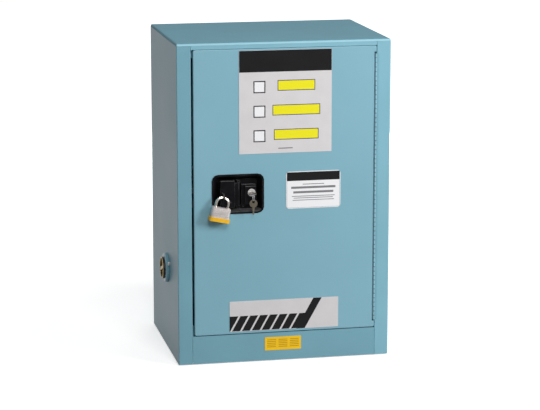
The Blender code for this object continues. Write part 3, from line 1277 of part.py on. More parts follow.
def padlock_body(place, top):
    """A stack of steel plates with a shallow groove between each pair, bored for the shackle's legs."""
    pitch = LOCK_BODY_HEIGHT / LAMINATIONS
    rings = []
    for i in range(LAMINATIONS):
        for inset, z in ((LAMINATION_GROOVE, top - i * pitch), (0, top - i * pitch - LAMINATION_GROOVE),
                         (0, top - (i + 1) * pitch + LAMINATION_GROOVE)):
            rings.append(level_ring(LOCK_BODY_HALF_WIDTH - inset, LOCK_BODY_HALF_DEPTH - inset,
                                    LOCK_BODY_CORNER, z))
    rings.append(level_ring(LOCK_BODY_HALF_WIDTH - LAMINATION_GROOVE, LOCK_BODY_HALF_DEPTH
                            - LAMINATION_GROOVE, LOCK_BODY_CORNER, top - LOCK_BODY_HEIGHT))
    body = keep(object_from(loft(rings)), "padlock_body", "lock_steel", "padlock", place)
    for side in (-1, 1):
        bm = bmesh.new()
        depth = SHACKLE_IN_BODY + SEAT
        add_cylinder(bm, (side * SHACKLE_HALF_SPAN, 0, top - depth / 2 + CUT_OVERRUN / 2), "z",
                     SHACKLE_WIRE + SEAT, depth + CUT_OVERRUN, 12)
        bore = cutter_from(bm, "padlock_body")
        bore.location = place
        hang(bore)
        boolean(body, bore)
    return body


make_pivots()
side_panels()
lid()
flat_panels()
header_and_rail()
inner_walls()
shelf_parts()
vents()
ground_screw()
feet()
door_shell()
hinge()
labels()
handle_dish()
paddle()
key_lock()
ring_and_spare_key()
latch_hub()
rods()
rod_guides()
latch_plate_and_spring()
strikes()
padlock()
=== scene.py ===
import json
import math

import bpy
from mathutils import Matrix, Vector


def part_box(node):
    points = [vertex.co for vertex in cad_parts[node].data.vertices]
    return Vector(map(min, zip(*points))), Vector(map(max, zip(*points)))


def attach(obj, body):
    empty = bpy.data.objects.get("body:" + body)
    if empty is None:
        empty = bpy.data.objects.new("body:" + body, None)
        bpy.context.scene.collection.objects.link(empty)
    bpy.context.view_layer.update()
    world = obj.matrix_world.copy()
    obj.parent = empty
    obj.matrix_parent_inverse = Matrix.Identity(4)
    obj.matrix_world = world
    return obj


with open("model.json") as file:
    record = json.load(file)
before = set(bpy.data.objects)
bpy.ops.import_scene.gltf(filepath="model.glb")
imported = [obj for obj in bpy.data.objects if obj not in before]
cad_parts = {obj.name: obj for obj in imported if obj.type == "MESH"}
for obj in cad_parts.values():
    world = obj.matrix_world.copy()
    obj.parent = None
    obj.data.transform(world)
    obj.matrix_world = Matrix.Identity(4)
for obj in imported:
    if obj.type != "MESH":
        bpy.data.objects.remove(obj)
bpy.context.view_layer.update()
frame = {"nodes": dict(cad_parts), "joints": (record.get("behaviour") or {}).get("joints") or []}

# The studio: a camera at the photograph's angle on a white floor that runs into a white wall, a
# soft lamp high in front, one low at the right, and one behind for the back. Nothing lights the
# left side but the room, so it falls grey, and the room in front is dim, as behind a camera.
EYE = (-1.185, -5.7427, 1.616)
EYE_TURN = 0.204
EYE_TILT = -0.205
LENS = 141.13
SENSOR = 36
ROOM_LEVEL = 0.24
MIRRORED_IN_FRONT, MIRRORED_BEHIND = 0.05, 0.64
DIM_UNTIL, BRIGHT_FROM = -0.6, 0.2
FLOOR_HALF = 9
FLOOR_NEAR, FLOOR_FAR = 0.7, 2.4
FLOOR_NEAR_GLOW = 0.60
FLOOR_MIRRORED = 0.54
FLOOR_DIM_UNTIL, FLOOR_BRIGHT_FROM = -1.2, 0.3
FLOOR_BOUNCE = (0.28, 0.28, 0.28)
FLOOR_SEEN = (0.82, 0.82, 0.82)

camera_data = bpy.data.cameras.new("camera")
camera_data.lens = LENS
camera_data.sensor_width = SENSOR
camera = bpy.data.objects.new("camera", camera_data)
camera.location = EYE
camera.rotation_euler = (math.pi / 2 + EYE_TILT, 0, -EYE_TURN)
bpy.context.scene.collection.objects.link(camera)
bpy.context.scene.camera = camera
bpy.context.scene.view_settings.view_transform = "Standard"


def soft_lamp(name, place, aim, size, power):
    """A white rectangular lamp that faces its aim, and that the camera doesn't see."""
    data = bpy.data.lights.new(name, "AREA")
    data.shape = "RECTANGLE"
    data.size, data.size_y = size
    data.energy = power
    lamp = bpy.data.objects.new(name, data)
    lamp.location = place
    lamp.visible_camera = False
    lamp.rotation_euler = (Vector(place) - Vector(aim)).to_track_quat("Z", "Y").to_euler()
    bpy.context.scene.collection.objects.link(lamp)


soft_lamp("front_lamp", (-0.1, -3.4, 2.9), (0, 0, 0.45), (1.5, 1.1), 72)
soft_lamp("right_lamp", (2.6, -2.3, 1.6), (0, 0, 0.5), (1.1, 1.3), 92)
soft_lamp("back_lamp", (1.1, 3.4, 0.46), (0.1, 0, 0.46), (1.8, 0.7), 50)


def feed(tree, node, *values):
    """Fills a node's inputs in order: a socket is linked, and a number or a vector is set."""
    for socket, value in zip(node.inputs, values):
        if isinstance(value, bpy.types.NodeSocket):
            tree.links.new(value, socket)
        else:
            socket.default_value = value


def node_math(tree, operation, *values):
    """The result of a Math node."""
    step = tree.nodes.new("ShaderNodeMath")
    step.operation = operation
    feed(tree, step, *values)
    return step.outputs[0]


def vector_math(tree, operation, *values):
    """The outputs, Vector and Value, of a Vector Math node."""
    step = tree.nodes.new("ShaderNodeVectorMath")
    step.operation = operation
    feed(tree, step, *values)
    return step.outputs


def fade(tree, value, start, end, low=0.0, high=1.0):
    """Low before the start, high past the end, and a straight slope between them."""
    step = tree.nodes.new("ShaderNodeMapRange")
    feed(tree, step, value, start, end, low, high)
    return step.outputs["Result"]


def own_place(tree, coordinate="Object"):
    """The shaded point in the piece's own metres, or another of the node's coordinates."""
    return tree.nodes.new("ShaderNodeTexCoord").outputs[coordinate]


def parted(tree, vector):
    """The X, Y and Z sockets of a vector."""
    split = tree.nodes.new("ShaderNodeSeparateXYZ")
    tree.links.new(vector, split.inputs["Vector"])
    return split.outputs


def blended(tree, factor, below, above):
    """One colour laid over another by a factor."""
    mix = tree.nodes.new("ShaderNodeMix")
    mix.data_type = "RGBA"
    for label, colour in (("A", below), ("B", above)):
        if isinstance(colour, bpy.types.NodeSocket):
            tree.links.new(colour, mix.inputs[label])
        else:
            mix.inputs[label].default_value = (*colour, 1)
    tree.links.new(factor, mix.inputs["Factor"])
    return mix.outputs["Result"]


world = bpy.data.worlds.new("white_studio")
world.use_nodes = True
bpy.context.scene.world = world
room = world.node_tree
sky = room.nodes["Background"]
sky.inputs["Color"].default_value = (1, 1, 1, 1)
rays = room.nodes.new("ShaderNodeLightPath").outputs
seen = node_math(room, "MAXIMUM", rays["Is Camera Ray"], rays["Is Transmission Ray"])
mirrored = fade(room, parted(room, own_place(room, "Generated"))["Y"], DIM_UNTIL, BRIGHT_FROM,
                MIRRORED_IN_FRONT, MIRRORED_BEHIND)
lit = node_math(room, "MULTIPLY_ADD", rays["Is Glossy Ray"], mirrored, ROOM_LEVEL)
room.links.new(node_math(room, "MAXIMUM", seen, lit), sky.inputs["Strength"])

floor_mesh = bpy.data.meshes.new("studio_floor")
floor_mesh.from_pydata([(-FLOOR_HALF, -FLOOR_HALF, 0), (FLOOR_HALF, -FLOOR_HALF, 0),
                        (FLOOR_HALF, FLOOR_HALF, 0), (-FLOOR_HALF, FLOOR_HALF, 0)], [], [(0, 1, 2, 3)])
studio_floor = bpy.data.objects.new("studio_floor", floor_mesh)
bpy.context.scene.collection.objects.link(studio_floor)
floor_paint = bpy.data.materials.new("floor_paint")
floor_paint.use_nodes = True
ground = floor_paint.node_tree
floor_shader = ground.nodes["Principled BSDF"]
floor_shader.inputs["Roughness"].default_value = 0.9
floor_shader.inputs["Specular IOR Level"].default_value = 0.2
floor_shader.inputs["Emission Color"].default_value = (1, 1, 1, 1)
floor_place = own_place(ground)
floor_rays = ground.nodes.new("ShaderNodeLightPath").outputs
ground.links.new(blended(ground, floor_rays["Is Camera Ray"], FLOOR_BOUNCE, FLOOR_SEEN),
                 floor_shader.inputs["Base Color"])
behind = fade(ground, parted(ground, floor_place)["Y"], FLOOR_DIM_UNTIL, FLOOR_BRIGHT_FROM, 0.0,
              FLOOR_MIRRORED)
floor_mirrored = node_math(ground, "MULTIPLY", floor_rays["Is Glossy Ray"], behind)
reach = vector_math(ground, "LENGTH", floor_place)["Value"]
glow = fade(ground, reach, FLOOR_NEAR, FLOOR_FAR, FLOOR_NEAR_GLOW)
ground.links.new(node_math(ground, "MULTIPLY_ADD", floor_rays["Is Camera Ray"], glow, floor_mirrored),
                 floor_shader.inputs["Emission Strength"])
floor_mesh.materials.append(floor_paint)


# Outer and inner steel sheets: folded mild steel with a light blue baked powder coat, faintly
# pebbled, and worn a little along the folds. The left side panel and the bottom rail take a darker
# copy of the coat, painted shade for faces that the lamps light less.
def new_group(name, sockets_in, sockets_out):
    """A shader node group with named inputs and outputs, and its two end nodes."""
    group = bpy.data.node_groups.new(name, "ShaderNodeTree")
    for label, kind, value in sockets_in:
        socket = group.interface.new_socket(label, in_out="INPUT", socket_type=kind)
        socket.default_value = value
    for label, kind in sockets_out:
        group.interface.new_socket(label, in_out="OUTPUT", socket_type=kind)
    return group, group.nodes.new("NodeGroupInput"), group.nodes.new("NodeGroupOutput")


def noise(tree, place, scale, detail):
    """The factor of a Noise Texture."""
    texture = tree.nodes.new("ShaderNodeTexNoise")
    texture.inputs["Detail"].default_value = detail
    tree.links.new(place, texture.inputs["Vector"])
    tree.links.new(scale, texture.inputs["Scale"])
    return texture.outputs["Fac"]


SHARP_FROM, SHARP_TO = 0.995, 0.90
RUBBED_FROM, RUBBED_TO = 0.42, 0.62


def edge_wear_and_highlight_group():
    """Finds the sharp edges of a solid, and breaks the mask up as rubbing does. Some finishes lay a painted
    highlight there as well as wear.
    """
    group, given, result = new_group("edge_wear_and_highlight", [
        ("Radius", "NodeSocketFloat", 0.0012), ("Amount", "NodeSocketFloat", 0.5),
        ("Patch Scale", "NodeSocketFloat", 40.0)], [("Wear", "NodeSocketFloat")])
    bevel = group.nodes.new("ShaderNodeBevel")
    bevel.samples = 4
    group.links.new(given.outputs["Radius"], bevel.inputs["Radius"])
    geometry = group.nodes.new("ShaderNodeNewGeometry")
    flat = vector_math(group, "DOT_PRODUCT", bevel.outputs["Normal"], geometry.outputs["Normal"])["Value"]
    edge = fade(group, flat, SHARP_FROM, SHARP_TO)
    patches = noise(group, own_place(group), given.outputs["Patch Scale"], 4)
    broken = node_math(group, "MULTIPLY", edge, fade(group, patches, RUBBED_FROM, RUBBED_TO))
    group.links.new(node_math(group, "MULTIPLY", broken, given.outputs["Amount"]), result.inputs["Wear"])
    return group


def grain_group():
    """A mottle for colour, and a fine pebble for the surface, on the piece's own place."""
    group, given, result = new_group("surface_grain", [
        ("Mottle Scale", "NodeSocketFloat", 6.0), ("Pebble Scale", "NodeSocketFloat", 700.0),
        ("Stretch", "NodeSocketVector", (1, 1, 1))],
        [("Mottle", "NodeSocketFloat"), ("Pebble", "NodeSocketFloat")])
    mapping = group.nodes.new("ShaderNodeMapping")
    group.links.new(own_place(group), mapping.inputs["Vector"])
    group.links.new(given.outputs["Stretch"], mapping.inputs["Scale"])
    for label, detail in (("Mottle", 5), ("Pebble", 2)):
        grain = noise(group, mapping.outputs["Vector"], given.outputs[label + " Scale"], detail)
        group.links.new(grain, result.inputs[label])
    return group


EDGE_WEAR_AND_HIGHLIGHT = edge_wear_and_highlight_group()
GRAIN = grain_group()


def use_group(tree, group, **values):
    """The outputs of a group's node, with its inputs set."""
    node = tree.nodes.new("ShaderNodeGroup")
    node.node_tree = group
    for label, value in values.items():
        node.inputs[label.replace("_", " ")].default_value = value
    return node.outputs


def coated(name, colour, roughness, worn_colour, mottle=0.06, mottle_scale=6.0, pebble_scale=700.0,
           pebble_height=0.00006, wear=0.5, wear_radius=0.0012, metallic=0.0, stretch=(1, 1, 1),
           rough_swing=0.08, specular=0.5):
    """A finish with mottled colour, a fine pebble and rubbed edges, whose colour in some finishes is a
    painted highlight as well as wear.
    """
    material = bpy.data.materials.new(name)
    material.use_nodes = True
    tree = material.node_tree
    shader = tree.nodes["Principled BSDF"]
    shader.inputs["Metallic"].default_value = metallic
    shader.inputs["Specular IOR Level"].default_value = specular
    grain = use_group(tree, GRAIN, Mottle_Scale=mottle_scale, Pebble_Scale=pebble_scale, Stretch=stretch)
    edge_marks = use_group(tree, EDGE_WEAR_AND_HIGHLIGHT, Amount=wear, Radius=wear_radius)
    ramp = tree.nodes.new("ShaderNodeValToRGB")
    dark, light = ramp.color_ramp.elements
    dark.position, light.position = 0.35, 0.65
    dark.color = (*[c * (1 - mottle) for c in colour], 1)
    light.color = (*[min(c * (1 + mottle), 1) for c in colour], 1)
    tree.links.new(grain["Mottle"], ramp.inputs["Fac"])
    tree.links.new(blended(tree, edge_marks["Wear"], ramp.outputs["Color"], worn_colour),
                   shader.inputs["Base Color"])
    tree.links.new(fade(tree, grain["Mottle"], 0, 1, roughness - rough_swing, roughness + rough_swing),
                   shader.inputs["Roughness"])
    bump = tree.nodes.new("ShaderNodeBump")
    bump.inputs["Strength"].default_value = 1
    bump.inputs["Distance"].default_value = pebble_height
    tree.links.new(grain["Pebble"], bump.inputs["Height"])
    tree.links.new(bump.outputs["Normal"], shader.inputs["Normal"])
    return material


def dress(material, *names):
    """Gives CAD nodes a finish."""
    for name in names:
        frame["nodes"][name].material_slots[0].material = material


def print_over(material, mask, colour):
    """Lays a colour over what the finish has so far, where the mask is 1."""
    tree = material.node_tree
    base = tree.nodes["Principled BSDF"].inputs["Base Color"]
    tree.links.new(blended(tree, mask, base.links[0].from_socket, colour), base)


CABINET_BLUE = (0.205, 0.425, 0.515)
WORN_BLUE = (0.13, 0.22, 0.25)
SHEET = dict(mottle=0.035, mottle_scale=4.0, pebble_scale=900.0, wear=0.35, wear_radius=0.0010,
             specular=0.42)
blue_coat = coated("blue_coat", CABINET_BLUE, 0.34, WORN_BLUE, **SHEET)
dress(blue_coat, "back_panel", "base_panel", "door_header",
      "left_liner", "right_liner", "back_liner", "ceiling_liner", "sump_pan")
# A darker copy of the coat, painted shade for the left side panel and the bottom rail, which the lamps
# light less.
shade_painted_blue = coated("shade_painted_blue", (0.168, 0.352, 0.430), 0.34, (0.12, 0.20, 0.23),
                      **{**SHEET, "mottle": 0.045, "specular": 0.38})
dress(shade_painted_blue, "left_side_panel", "bottom_rail")

# The lid, the same coated sheet. Dust has dulled its upper face, and sleeves and cloths have
# polished the roll along its front edge smoother; the roll's paler blue is a painted highlight.
LID_ROLL = 0.0020
ROLL_HIGHLIGHT_BLUE = (0.31, 0.55, 0.64)
POLISHED_ROUGHNESS = 0.36


def lid_finish():
    """A dulled coat, with the roll along the front edge smoother, and paler with a painted highlight."""
    material = coated("lid_coat", (0.163, 0.376, 0.468), 0.62, (0.24, 0.42, 0.48),
                      **{**SHEET, "mottle": 0.05, "mottle_scale": 5.0, "specular": 0.16})
    tree = material.node_tree
    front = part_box("top_panel")[0].y
    roll = fade(tree, parted(tree, own_place(tree))["Y"], front + LID_ROLL, front + LID_ROLL * 0.7)
    # Painted highlight along the roll of the front edge.
    print_over(material, roll, ROLL_HIGHLIGHT_BLUE)
    smooth = tree.nodes.new("ShaderNodeMix")
    smooth.data_type = "FLOAT"
    smooth.inputs["B"].default_value = POLISHED_ROUGHNESS
    rough = tree.nodes["Principled BSDF"].inputs["Roughness"]
    tree.links.new(roll, smooth.inputs["Factor"])
    tree.links.new(rough.links[0].from_socket, smooth.inputs["A"])
    tree.links.new(smooth.outputs["Result"], rough)
    return material


dress(lid_finish(), "top_panel")

# The door's two pans, pressed from the same sheet. They are sprayed flat, and come out a hair greyer
# than the frame. The piano hinge is painted paler as a painted highlight on its knuckles, and painted
# shade darkens the stile beside it along its edge.
KNUCKLES = 59
SEAM_SHARE = 0.20
SEAM_DEPTH = 0.62
SEAM_SHADE_AND_GRIME = (0.02, 0.035, 0.04)
BARREL_REACH = 0.0052
HINGE_SHADOW_BLUE = (0.07, 0.20, 0.26)
HINGE_SHADOW_WIDTH = 0.0075
HINGE_SHADOW_SHARE = 0.28
STILE_FACE = 0.004

door_coat = coated("door_coat", (0.206, 0.406, 0.492), 0.38, WORN_BLUE, mottle=0.03, mottle_scale=3.0,
                   pebble_scale=900.0, wear=0.30, wear_radius=0.0010, specular=0.4)
dress(door_coat, "door_skin", "door_liner")


def hinge_finish():
    """A paler coat, a painted highlight for the knuckles' lit bead, with painted shade and some grime in
    the seams between the knuckles.
    """
    # The paler blue stands as a painted highlight on the knuckles.
    material = coated("hinge_coat", (0.265, 0.500, 0.590), 0.30, (0.36, 0.58, 0.66), mottle=0.05,
                      mottle_scale=30.0, pebble_scale=900.0, wear=0.6, wear_radius=0.0008)
    tree = material.node_tree
    place = parted(tree, own_place(tree))
    low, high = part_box("hinge_frame_leaf")
    pitch = (high.z - low.z) / KNUCKLES
    height = node_math(tree, "SUBTRACT", place["Z"], low.z - SEAM_SHARE * pitch / 2)
    share = node_math(tree, "FRACT", node_math(tree, "DIVIDE", height, pitch))
    seam = node_math(tree, "LESS_THAN", share, SEAM_SHARE)
    barrel = node_math(tree, "LESS_THAN", place["Y"], low.y + BARREL_REACH)
    # Painted shade, with a little grime, darkens the seams between the knuckles on the barrel.
    seam_shade_and_grime = node_math(tree, "MULTIPLY", node_math(tree, "MULTIPLY", seam, barrel), SEAM_DEPTH)
    print_over(material, seam_shade_and_grime, SEAM_SHADE_AND_GRIME)
    return material


def stile_finish():
    """The sheets' coat, with painted shade darkening the stile's edge beside the hinge, as the knuckles'
    shadow.
    """
    material = coated("stile_coat", CABINET_BLUE, 0.34, WORN_BLUE, **SHEET)
    tree = material.node_tree
    place = parted(tree, own_place(tree))
    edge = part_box("right_side_panel")[0]
    leaf_low, leaf_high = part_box("hinge_frame_leaf")
    beside = fade(tree, place["X"], edge.x + HINGE_SHADOW_WIDTH, edge.x + HINGE_SHADOW_WIDTH / 2, 0.0, HINGE_SHADOW_SHARE)
    in_front = node_math(tree, "LESS_THAN", place["Y"], edge.y + STILE_FACE)
    along = node_math(tree, "MULTIPLY", node_math(tree, "GREATER_THAN", place["Z"], leaf_low.z),
                      node_math(tree, "LESS_THAN", place["Z"], leaf_high.z))
    mask = node_math(tree, "MULTIPLY", node_math(tree, "MULTIPLY", in_front, along), beside)
    # Painted shade: the knuckles' shadow on the stile's edge beside the hinge.
    print_over(material, mask, HINGE_SHADOW_BLUE)
    return material


dress(hinge_finish(), "hinge_frame_leaf", "hinge_door_leaf")
dress(stile_finish(), "right_side_panel")

# Bright zinc-plated small steel: pins, strikes, guides, feet, latch works and the ring. The two
# long rods are black, and worn bright where they slide.
zinc_plate = coated("zinc_plate", (0.60, 0.61, 0.63), 0.32, (0.80, 0.80, 0.81), mottle=0.10,
                    mottle_scale=60.0, pebble_scale=1500.0, pebble_height=0.00002, wear=0.6,
                    wear_radius=0.0004, metallic=1.0)
dress(zinc_plate, "hinge_pin", "upper_strike", "lower_strike", "side_strike", "upper_rod_guide",
      "lower_rod_guide", "latch_plate", "latch_hub", "hub_spring", "paddle_pin", "lock_cam", "key_ring",
      "ground_screw", "front_left_foot", "front_right_foot", "rear_left_foot", "rear_right_foot",
      "centre_bolt")
rod_black = coated("rod_black", (0.035, 0.035, 0.038), 0.45, (0.30, 0.30, 0.31), mottle=0.2,
                   mottle_scale=30.0, pebble_scale=800.0, wear=0.7, wear_radius=0.0006, metallic=0.4)
dress(rod_black, "upper_rod", "lower_rod")

# Galvanised shelf and its rails, with the frosty crystals of hot-dipped zinc, and the moulded
# plastic tray that lies on the shelf.
CRYSTAL_SCALE = 90
GLOSSY_CRYSTAL, DULL_CRYSTAL = 0.30, 0.55


def galvanised_finish():
    """Zinc whose gloss changes from crystal to crystal."""
    material = coated("galvanised", (0.52, 0.54, 0.57), 0.42, (0.68, 0.69, 0.71), mottle=0.05,
                      pebble_height=0.00002, wear=0.3, metallic=0.9)
    tree = material.node_tree
    crystals = tree.nodes.new("ShaderNodeTexVoronoi")
    crystals.inputs["Scale"].default_value = CRYSTAL_SCALE
    tree.links.new(own_place(tree), crystals.inputs["Vector"])
    tree.links.new(fade(tree, crystals.outputs["Color"], 0, 1, GLOSSY_CRYSTAL, DULL_CRYSTAL),
                   tree.nodes["Principled BSDF"].inputs["Roughness"])
    return material


dress(galvanised_finish(), "shelf", "left_shelf_rail", "right_shelf_rail")
tray_plastic = coated("tray_plastic", (0.74, 0.75, 0.74), 0.5, (0.82, 0.83, 0.82), mottle=0.02,
                      pebble_scale=1200.0, wear=0.3)
dress(tray_plastic, "shelf_tray")

# Vents: painted steel collars screwed through both walls, with cast brass caps and a disc of brass
# gauze behind. The caps' threaded walls are painted black as painted shade, and the paler worn edges
# of their bars are painted glints as well as wear.
CAP_WALL_SHADE = (0.012, 0.012, 0.012)
WALL_SHADE_FROM, WALL_SHADE_TO = 0.0006, 0.0002
WIRE_SCALE = 160
WIRE_HEIGHT = 0.0004

# The collars' rims are rubbed paler, wear and a painted highlight on the lit lip both.
collar_coat = coated("collar_coat", CABINET_BLUE, 0.20, (0.30, 0.52, 0.60), mottle=0.04, mottle_scale=20.0,
                     pebble_scale=900.0, wear=0.9, wear_radius=0.0020, specular=0.7, rough_swing=0.05)
dress(collar_coat, "left_vent_collar", "right_vent_collar")


def middle(name):
    """The middle of a CAD node's box."""
    low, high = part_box(name)
    return (low + high) / 2


def cap_finish(name, centre, radius):
    """Brass on the cap's face, paler at its worn edges, which stand also as painted glints, and painted
    shade in black on its wall.
    """
    material = coated(name, (0.34, 0.25, 0.06), 0.28, (0.90, 0.72, 0.42), mottle=0.35, mottle_scale=60.0,
                      pebble_scale=900.0, pebble_height=0.00010, wear=0.8, wear_radius=0.0012, metallic=1.0)
    tree = material.node_tree
    from_centre = vector_math(tree, "SUBTRACT", own_place(tree), centre)["Vector"]
    from_axis = vector_math(tree, "MULTIPLY", from_centre, (0, 1, 1))["Vector"]
    shaded_wall = fade(tree, vector_math(tree, "LENGTH", from_axis)["Value"], radius - WALL_SHADE_FROM,
                radius - WALL_SHADE_TO)
    # Painted shade: the cap's wall is laid black, and not metallic.
    print_over(material, shaded_wall, CAP_WALL_SHADE)
    tree.links.new(node_math(tree, "SUBTRACT", 1, shaded_wall), tree.nodes["Principled BSDF"].inputs["Metallic"])
    return material


for cap in ("left_vent_cap", "right_vent_cap"):
    dress(cap_finish(cap + "_brass", middle(cap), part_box(cap)[1].z - middle(cap).z), cap)


def gauze_finish():
    """Woven wire: crossed fine ribs across the disc."""
    material = coated("vent_gauze", (0.40, 0.32, 0.16), 0.45, (0.6, 0.5, 0.3), metallic=1.0)
    tree = material.node_tree
    ribs = []
    for axis in ("Y", "Z"):
        wave = tree.nodes.new("ShaderNodeTexWave")
        wave.bands_direction = axis
        wave.inputs["Scale"].default_value = WIRE_SCALE
        tree.links.new(own_place(tree), wave.inputs["Vector"])
        ribs.append(wave.outputs["Fac"])
    bump = tree.nodes["Bump"]
    bump.inputs["Distance"].default_value = WIRE_HEIGHT
    tree.links.new(node_math(tree, "MAXIMUM", *ribs), bump.inputs["Height"])
    return material


dress(gauze_finish(), "left_vent_screen", "right_vent_screen")

# Label plates: thin printed film, left bare of words and signs. Each has only its bands, its
# border and plain bars where the print was.
INK_BLACK = (0.012, 0.012, 0.013)
INK_GREY = (0.20, 0.20, 0.21)
INK_NAVY = (0.03, 0.03, 0.10)
INK_OCHRE = (0.50, 0.27, 0.01)
FILM_SILVER = (0.615, 0.595, 0.605)
FILM_WHITE = (0.80, 0.80, 0.82)
FILM_YELLOW = (0.86, 0.53, 0.02)
BAR_YELLOW = (0.78, 0.72, 0.02)


def film(name, ground_colour):
    """A smooth plastic film of one colour, to print on."""
    return coated(name, ground_colour, 0.35, ground_colour, mottle=0.02, mottle_scale=25.0,
                  pebble_scale=1500.0, pebble_height=0.00001, wear=0.0, specular=0.16)


def print_block(material, centre, half, ink, lean=0.0):
    """Prints a block, given by its centre and half sizes, whose sides may lean."""
    tree = material.node_tree
    place = parted(tree, own_place(tree))
    across = place["X"]
    if lean:
        across = node_math(tree, "ADD", across,
                           node_math(tree, "MULTIPLY_ADD", place["Z"], -lean, lean * centre[1]))
    inside_x = node_math(tree, "COMPARE", across, centre[0], half[0])
    inside_z = node_math(tree, "COMPARE", place["Z"], centre[1], half[1])
    print_over(material, node_math(tree, "MULTIPLY", inside_x, inside_z), ink)


large_film = film("large_film", FILM_SILVER)
large_x = middle("door_label").x
large_low, large_high = (corner.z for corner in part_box("door_label"))
BAND_X_HALF, BAND_Z_HALF, BAND_INSET = 0.1275, 0.02925, 0.0005
BAR_X, BAR_HALF, BAR_BORDER = 0.032, 0.0125, 0.002
BOX_X, BOX_DROP, BOX_HALF, BOX_BORDER = -0.070, 0.003, 0.0135, 0.003
LINE_RISE, LINE_HALF = 0.013, (0.020, 0.0015)
print_block(large_film, (large_x, large_high - BAND_INSET - BAND_Z_HALF), (BAND_X_HALF, BAND_Z_HALF),
            INK_BLACK)
for row_z, row_half in ((0.770, 0.050), (0.703, 0.064), (0.636, 0.060)):
    box_place = (BOX_X, row_z - BOX_DROP)
    print_block(large_film, (BAR_X, row_z), (row_half + BAR_BORDER, BAR_HALF + BAR_BORDER), INK_NAVY)
    print_block(large_film, (BAR_X, row_z), (row_half, BAR_HALF), BAR_YELLOW)
    print_block(large_film, box_place, (BOX_HALF + BOX_BORDER, BOX_HALF + BOX_BORDER), INK_BLACK)
    print_block(large_film, box_place, (BOX_HALF, BOX_HALF), FILM_WHITE)
print_block(large_film, (large_x, large_low + LINE_RISE), LINE_HALF, INK_GREY)
dress(large_film, "door_label")

small_film = film("small_film", FILM_WHITE)
small_x, small_z = middle("small_label").x, middle("small_label").z
BORDER_HALF = (0.0740, 0.0495)
FIELD_HALF, FIELD_DROP = (0.0734, 0.0372), 0.0118
print_block(small_film, (small_x, small_z), BORDER_HALF, INK_BLACK)
print_block(small_film, (small_x, small_z - FIELD_DROP), FIELD_HALF, FILM_WHITE)
for bar_z, bar_half, bar_height in ((0.496, 0.030, 0.0010), (0.487, 0.062, 0.0030), (0.474, 0.056, 0.0030),
                                    (0.463, 0.060, 0.0010), (0.458, 0.055, 0.0010), (0.452, 0.058, 0.0010)):
    print_block(small_film, (small_x, bar_z), (bar_half, bar_height), INK_GREY)
dress(small_film, "small_label")

stripe_film = film("stripe_film", FILM_SILVER)
STRIPE_LEAN = 0.56
ROW_X, ROW_Z, ROW_X_HALF, ROW_Z_HALF = -0.048, 0.1122, 0.106, 0.0212
GAP_X, GAP_PITCH, GAPS, GAP_HALF, GAP_OVERRUN = -0.1383, 0.0276, 9, 0.0027, 0.0002
END_GAP_X, END_GAP_HALF = 0.0512, 0.0030
SLASH_PLACE, SLASH_HALF = (0.0692, 0.1327), (0.0118, 0.0425)
print_block(stripe_film, (ROW_X, ROW_Z), (ROW_X_HALF, ROW_Z_HALF), INK_BLACK)
stripe_gaps = [(GAP_X + k * GAP_PITCH, GAP_HALF) for k in range(GAPS)] + [(END_GAP_X, END_GAP_HALF)]
for gap_x, gap_half in stripe_gaps:
    print_block(stripe_film, (gap_x, ROW_Z), (gap_half, ROW_Z_HALF + GAP_OVERRUN), FILM_SILVER, STRIPE_LEAN)
print_block(stripe_film, SLASH_PLACE, SLASH_HALF, INK_BLACK, STRIPE_LEAN)
dress(stripe_film, "stripe_label")

rail_film = film("rail_film", FILM_YELLOW)
RAIL_LINE_HALF = (0.0125, 0.0011)
for panel_x in (-0.036, -0.004, 0.028):
    for line_z in (0.061, 0.056, 0.051, 0.046, 0.041):
        print_block(rail_film, (panel_x, line_z), RAIL_LINE_HALF, INK_OCHRE)
dress(rail_film, "rail_label")

# Handle dish, paddle and lock housing: zinc castings with a satin black coat, paler along the
# edges that hands reach, from rubbing and as a painted highlight, and paler on the faces that lean
# upwards, from patchy dust and as painted light from above.
DUST_AND_UPLIGHT_GREY = (0.10, 0.096, 0.10)
DUST_SCALE = 90
UPLIGHT_FROM, UPLIGHT_FULL = 0.30, 0.75
THIN_FROM, THIN_TO, THIN_SHARE = 0.30, 0.60, 0.45
# Its paler rubbed edges stand also as painted highlights.
black_coat = coated("black_coat", (0.004, 0.004, 0.005), 0.34, (0.10, 0.10, 0.105), mottle=0.25,
                    mottle_scale=40.0, pebble_scale=1100.0, pebble_height=0.00008, wear=1.0,
                    wear_radius=0.0011, specular=0.16)


def dust_and_uplight(material, colour):
    """Patchy dust and painted light from above, on the faces that lean upwards."""
    tree = material.node_tree
    upward = fade(tree, parted(tree, own_place(tree, "Normal"))["Z"], UPLIGHT_FROM, UPLIGHT_FULL)
    patches = tree.nodes.new("ShaderNodeTexNoise")
    patches.inputs["Scale"].default_value = DUST_SCALE
    tree.links.new(own_place(tree), patches.inputs["Vector"])
    cover = fade(tree, patches.outputs["Fac"], THIN_FROM, THIN_TO, THIN_SHARE)
    # Painted light from above, laid on as patchy dust.
    print_over(material, node_math(tree, "MULTIPLY", upward, cover), colour)


dust_and_uplight(black_coat, DUST_AND_UPLIGHT_GREY)
dress(black_coat, "handle_dish", "handle_paddle", "lock_housing")

# Key lock: a chromed brass barrel with its turning plug, and two worn nickel keys. The upper key
# stands in the plug, and the spare one hangs from it on the ring.
chrome_plate = coated("chrome_plate", (0.86, 0.85, 0.85), 0.22, (0.92, 0.92, 0.92), mottle=0.06,
                      mottle_scale=80.0, pebble_height=0.00001, wear=0.6, wear_radius=0.0006,
                      metallic=0.72, rough_swing=0.05)
dress(chrome_plate, "lock_barrel", "lock_plug")
key_nickel = coated("key_nickel", (0.30, 0.26, 0.20), 0.34, (0.62, 0.58, 0.50), mottle=0.22,
                    mottle_scale=120.0, pebble_height=0.00003, wear=0.9, wear_radius=0.0006, metallic=1.0)
dress(key_nickel, "door_key", "spare_key")

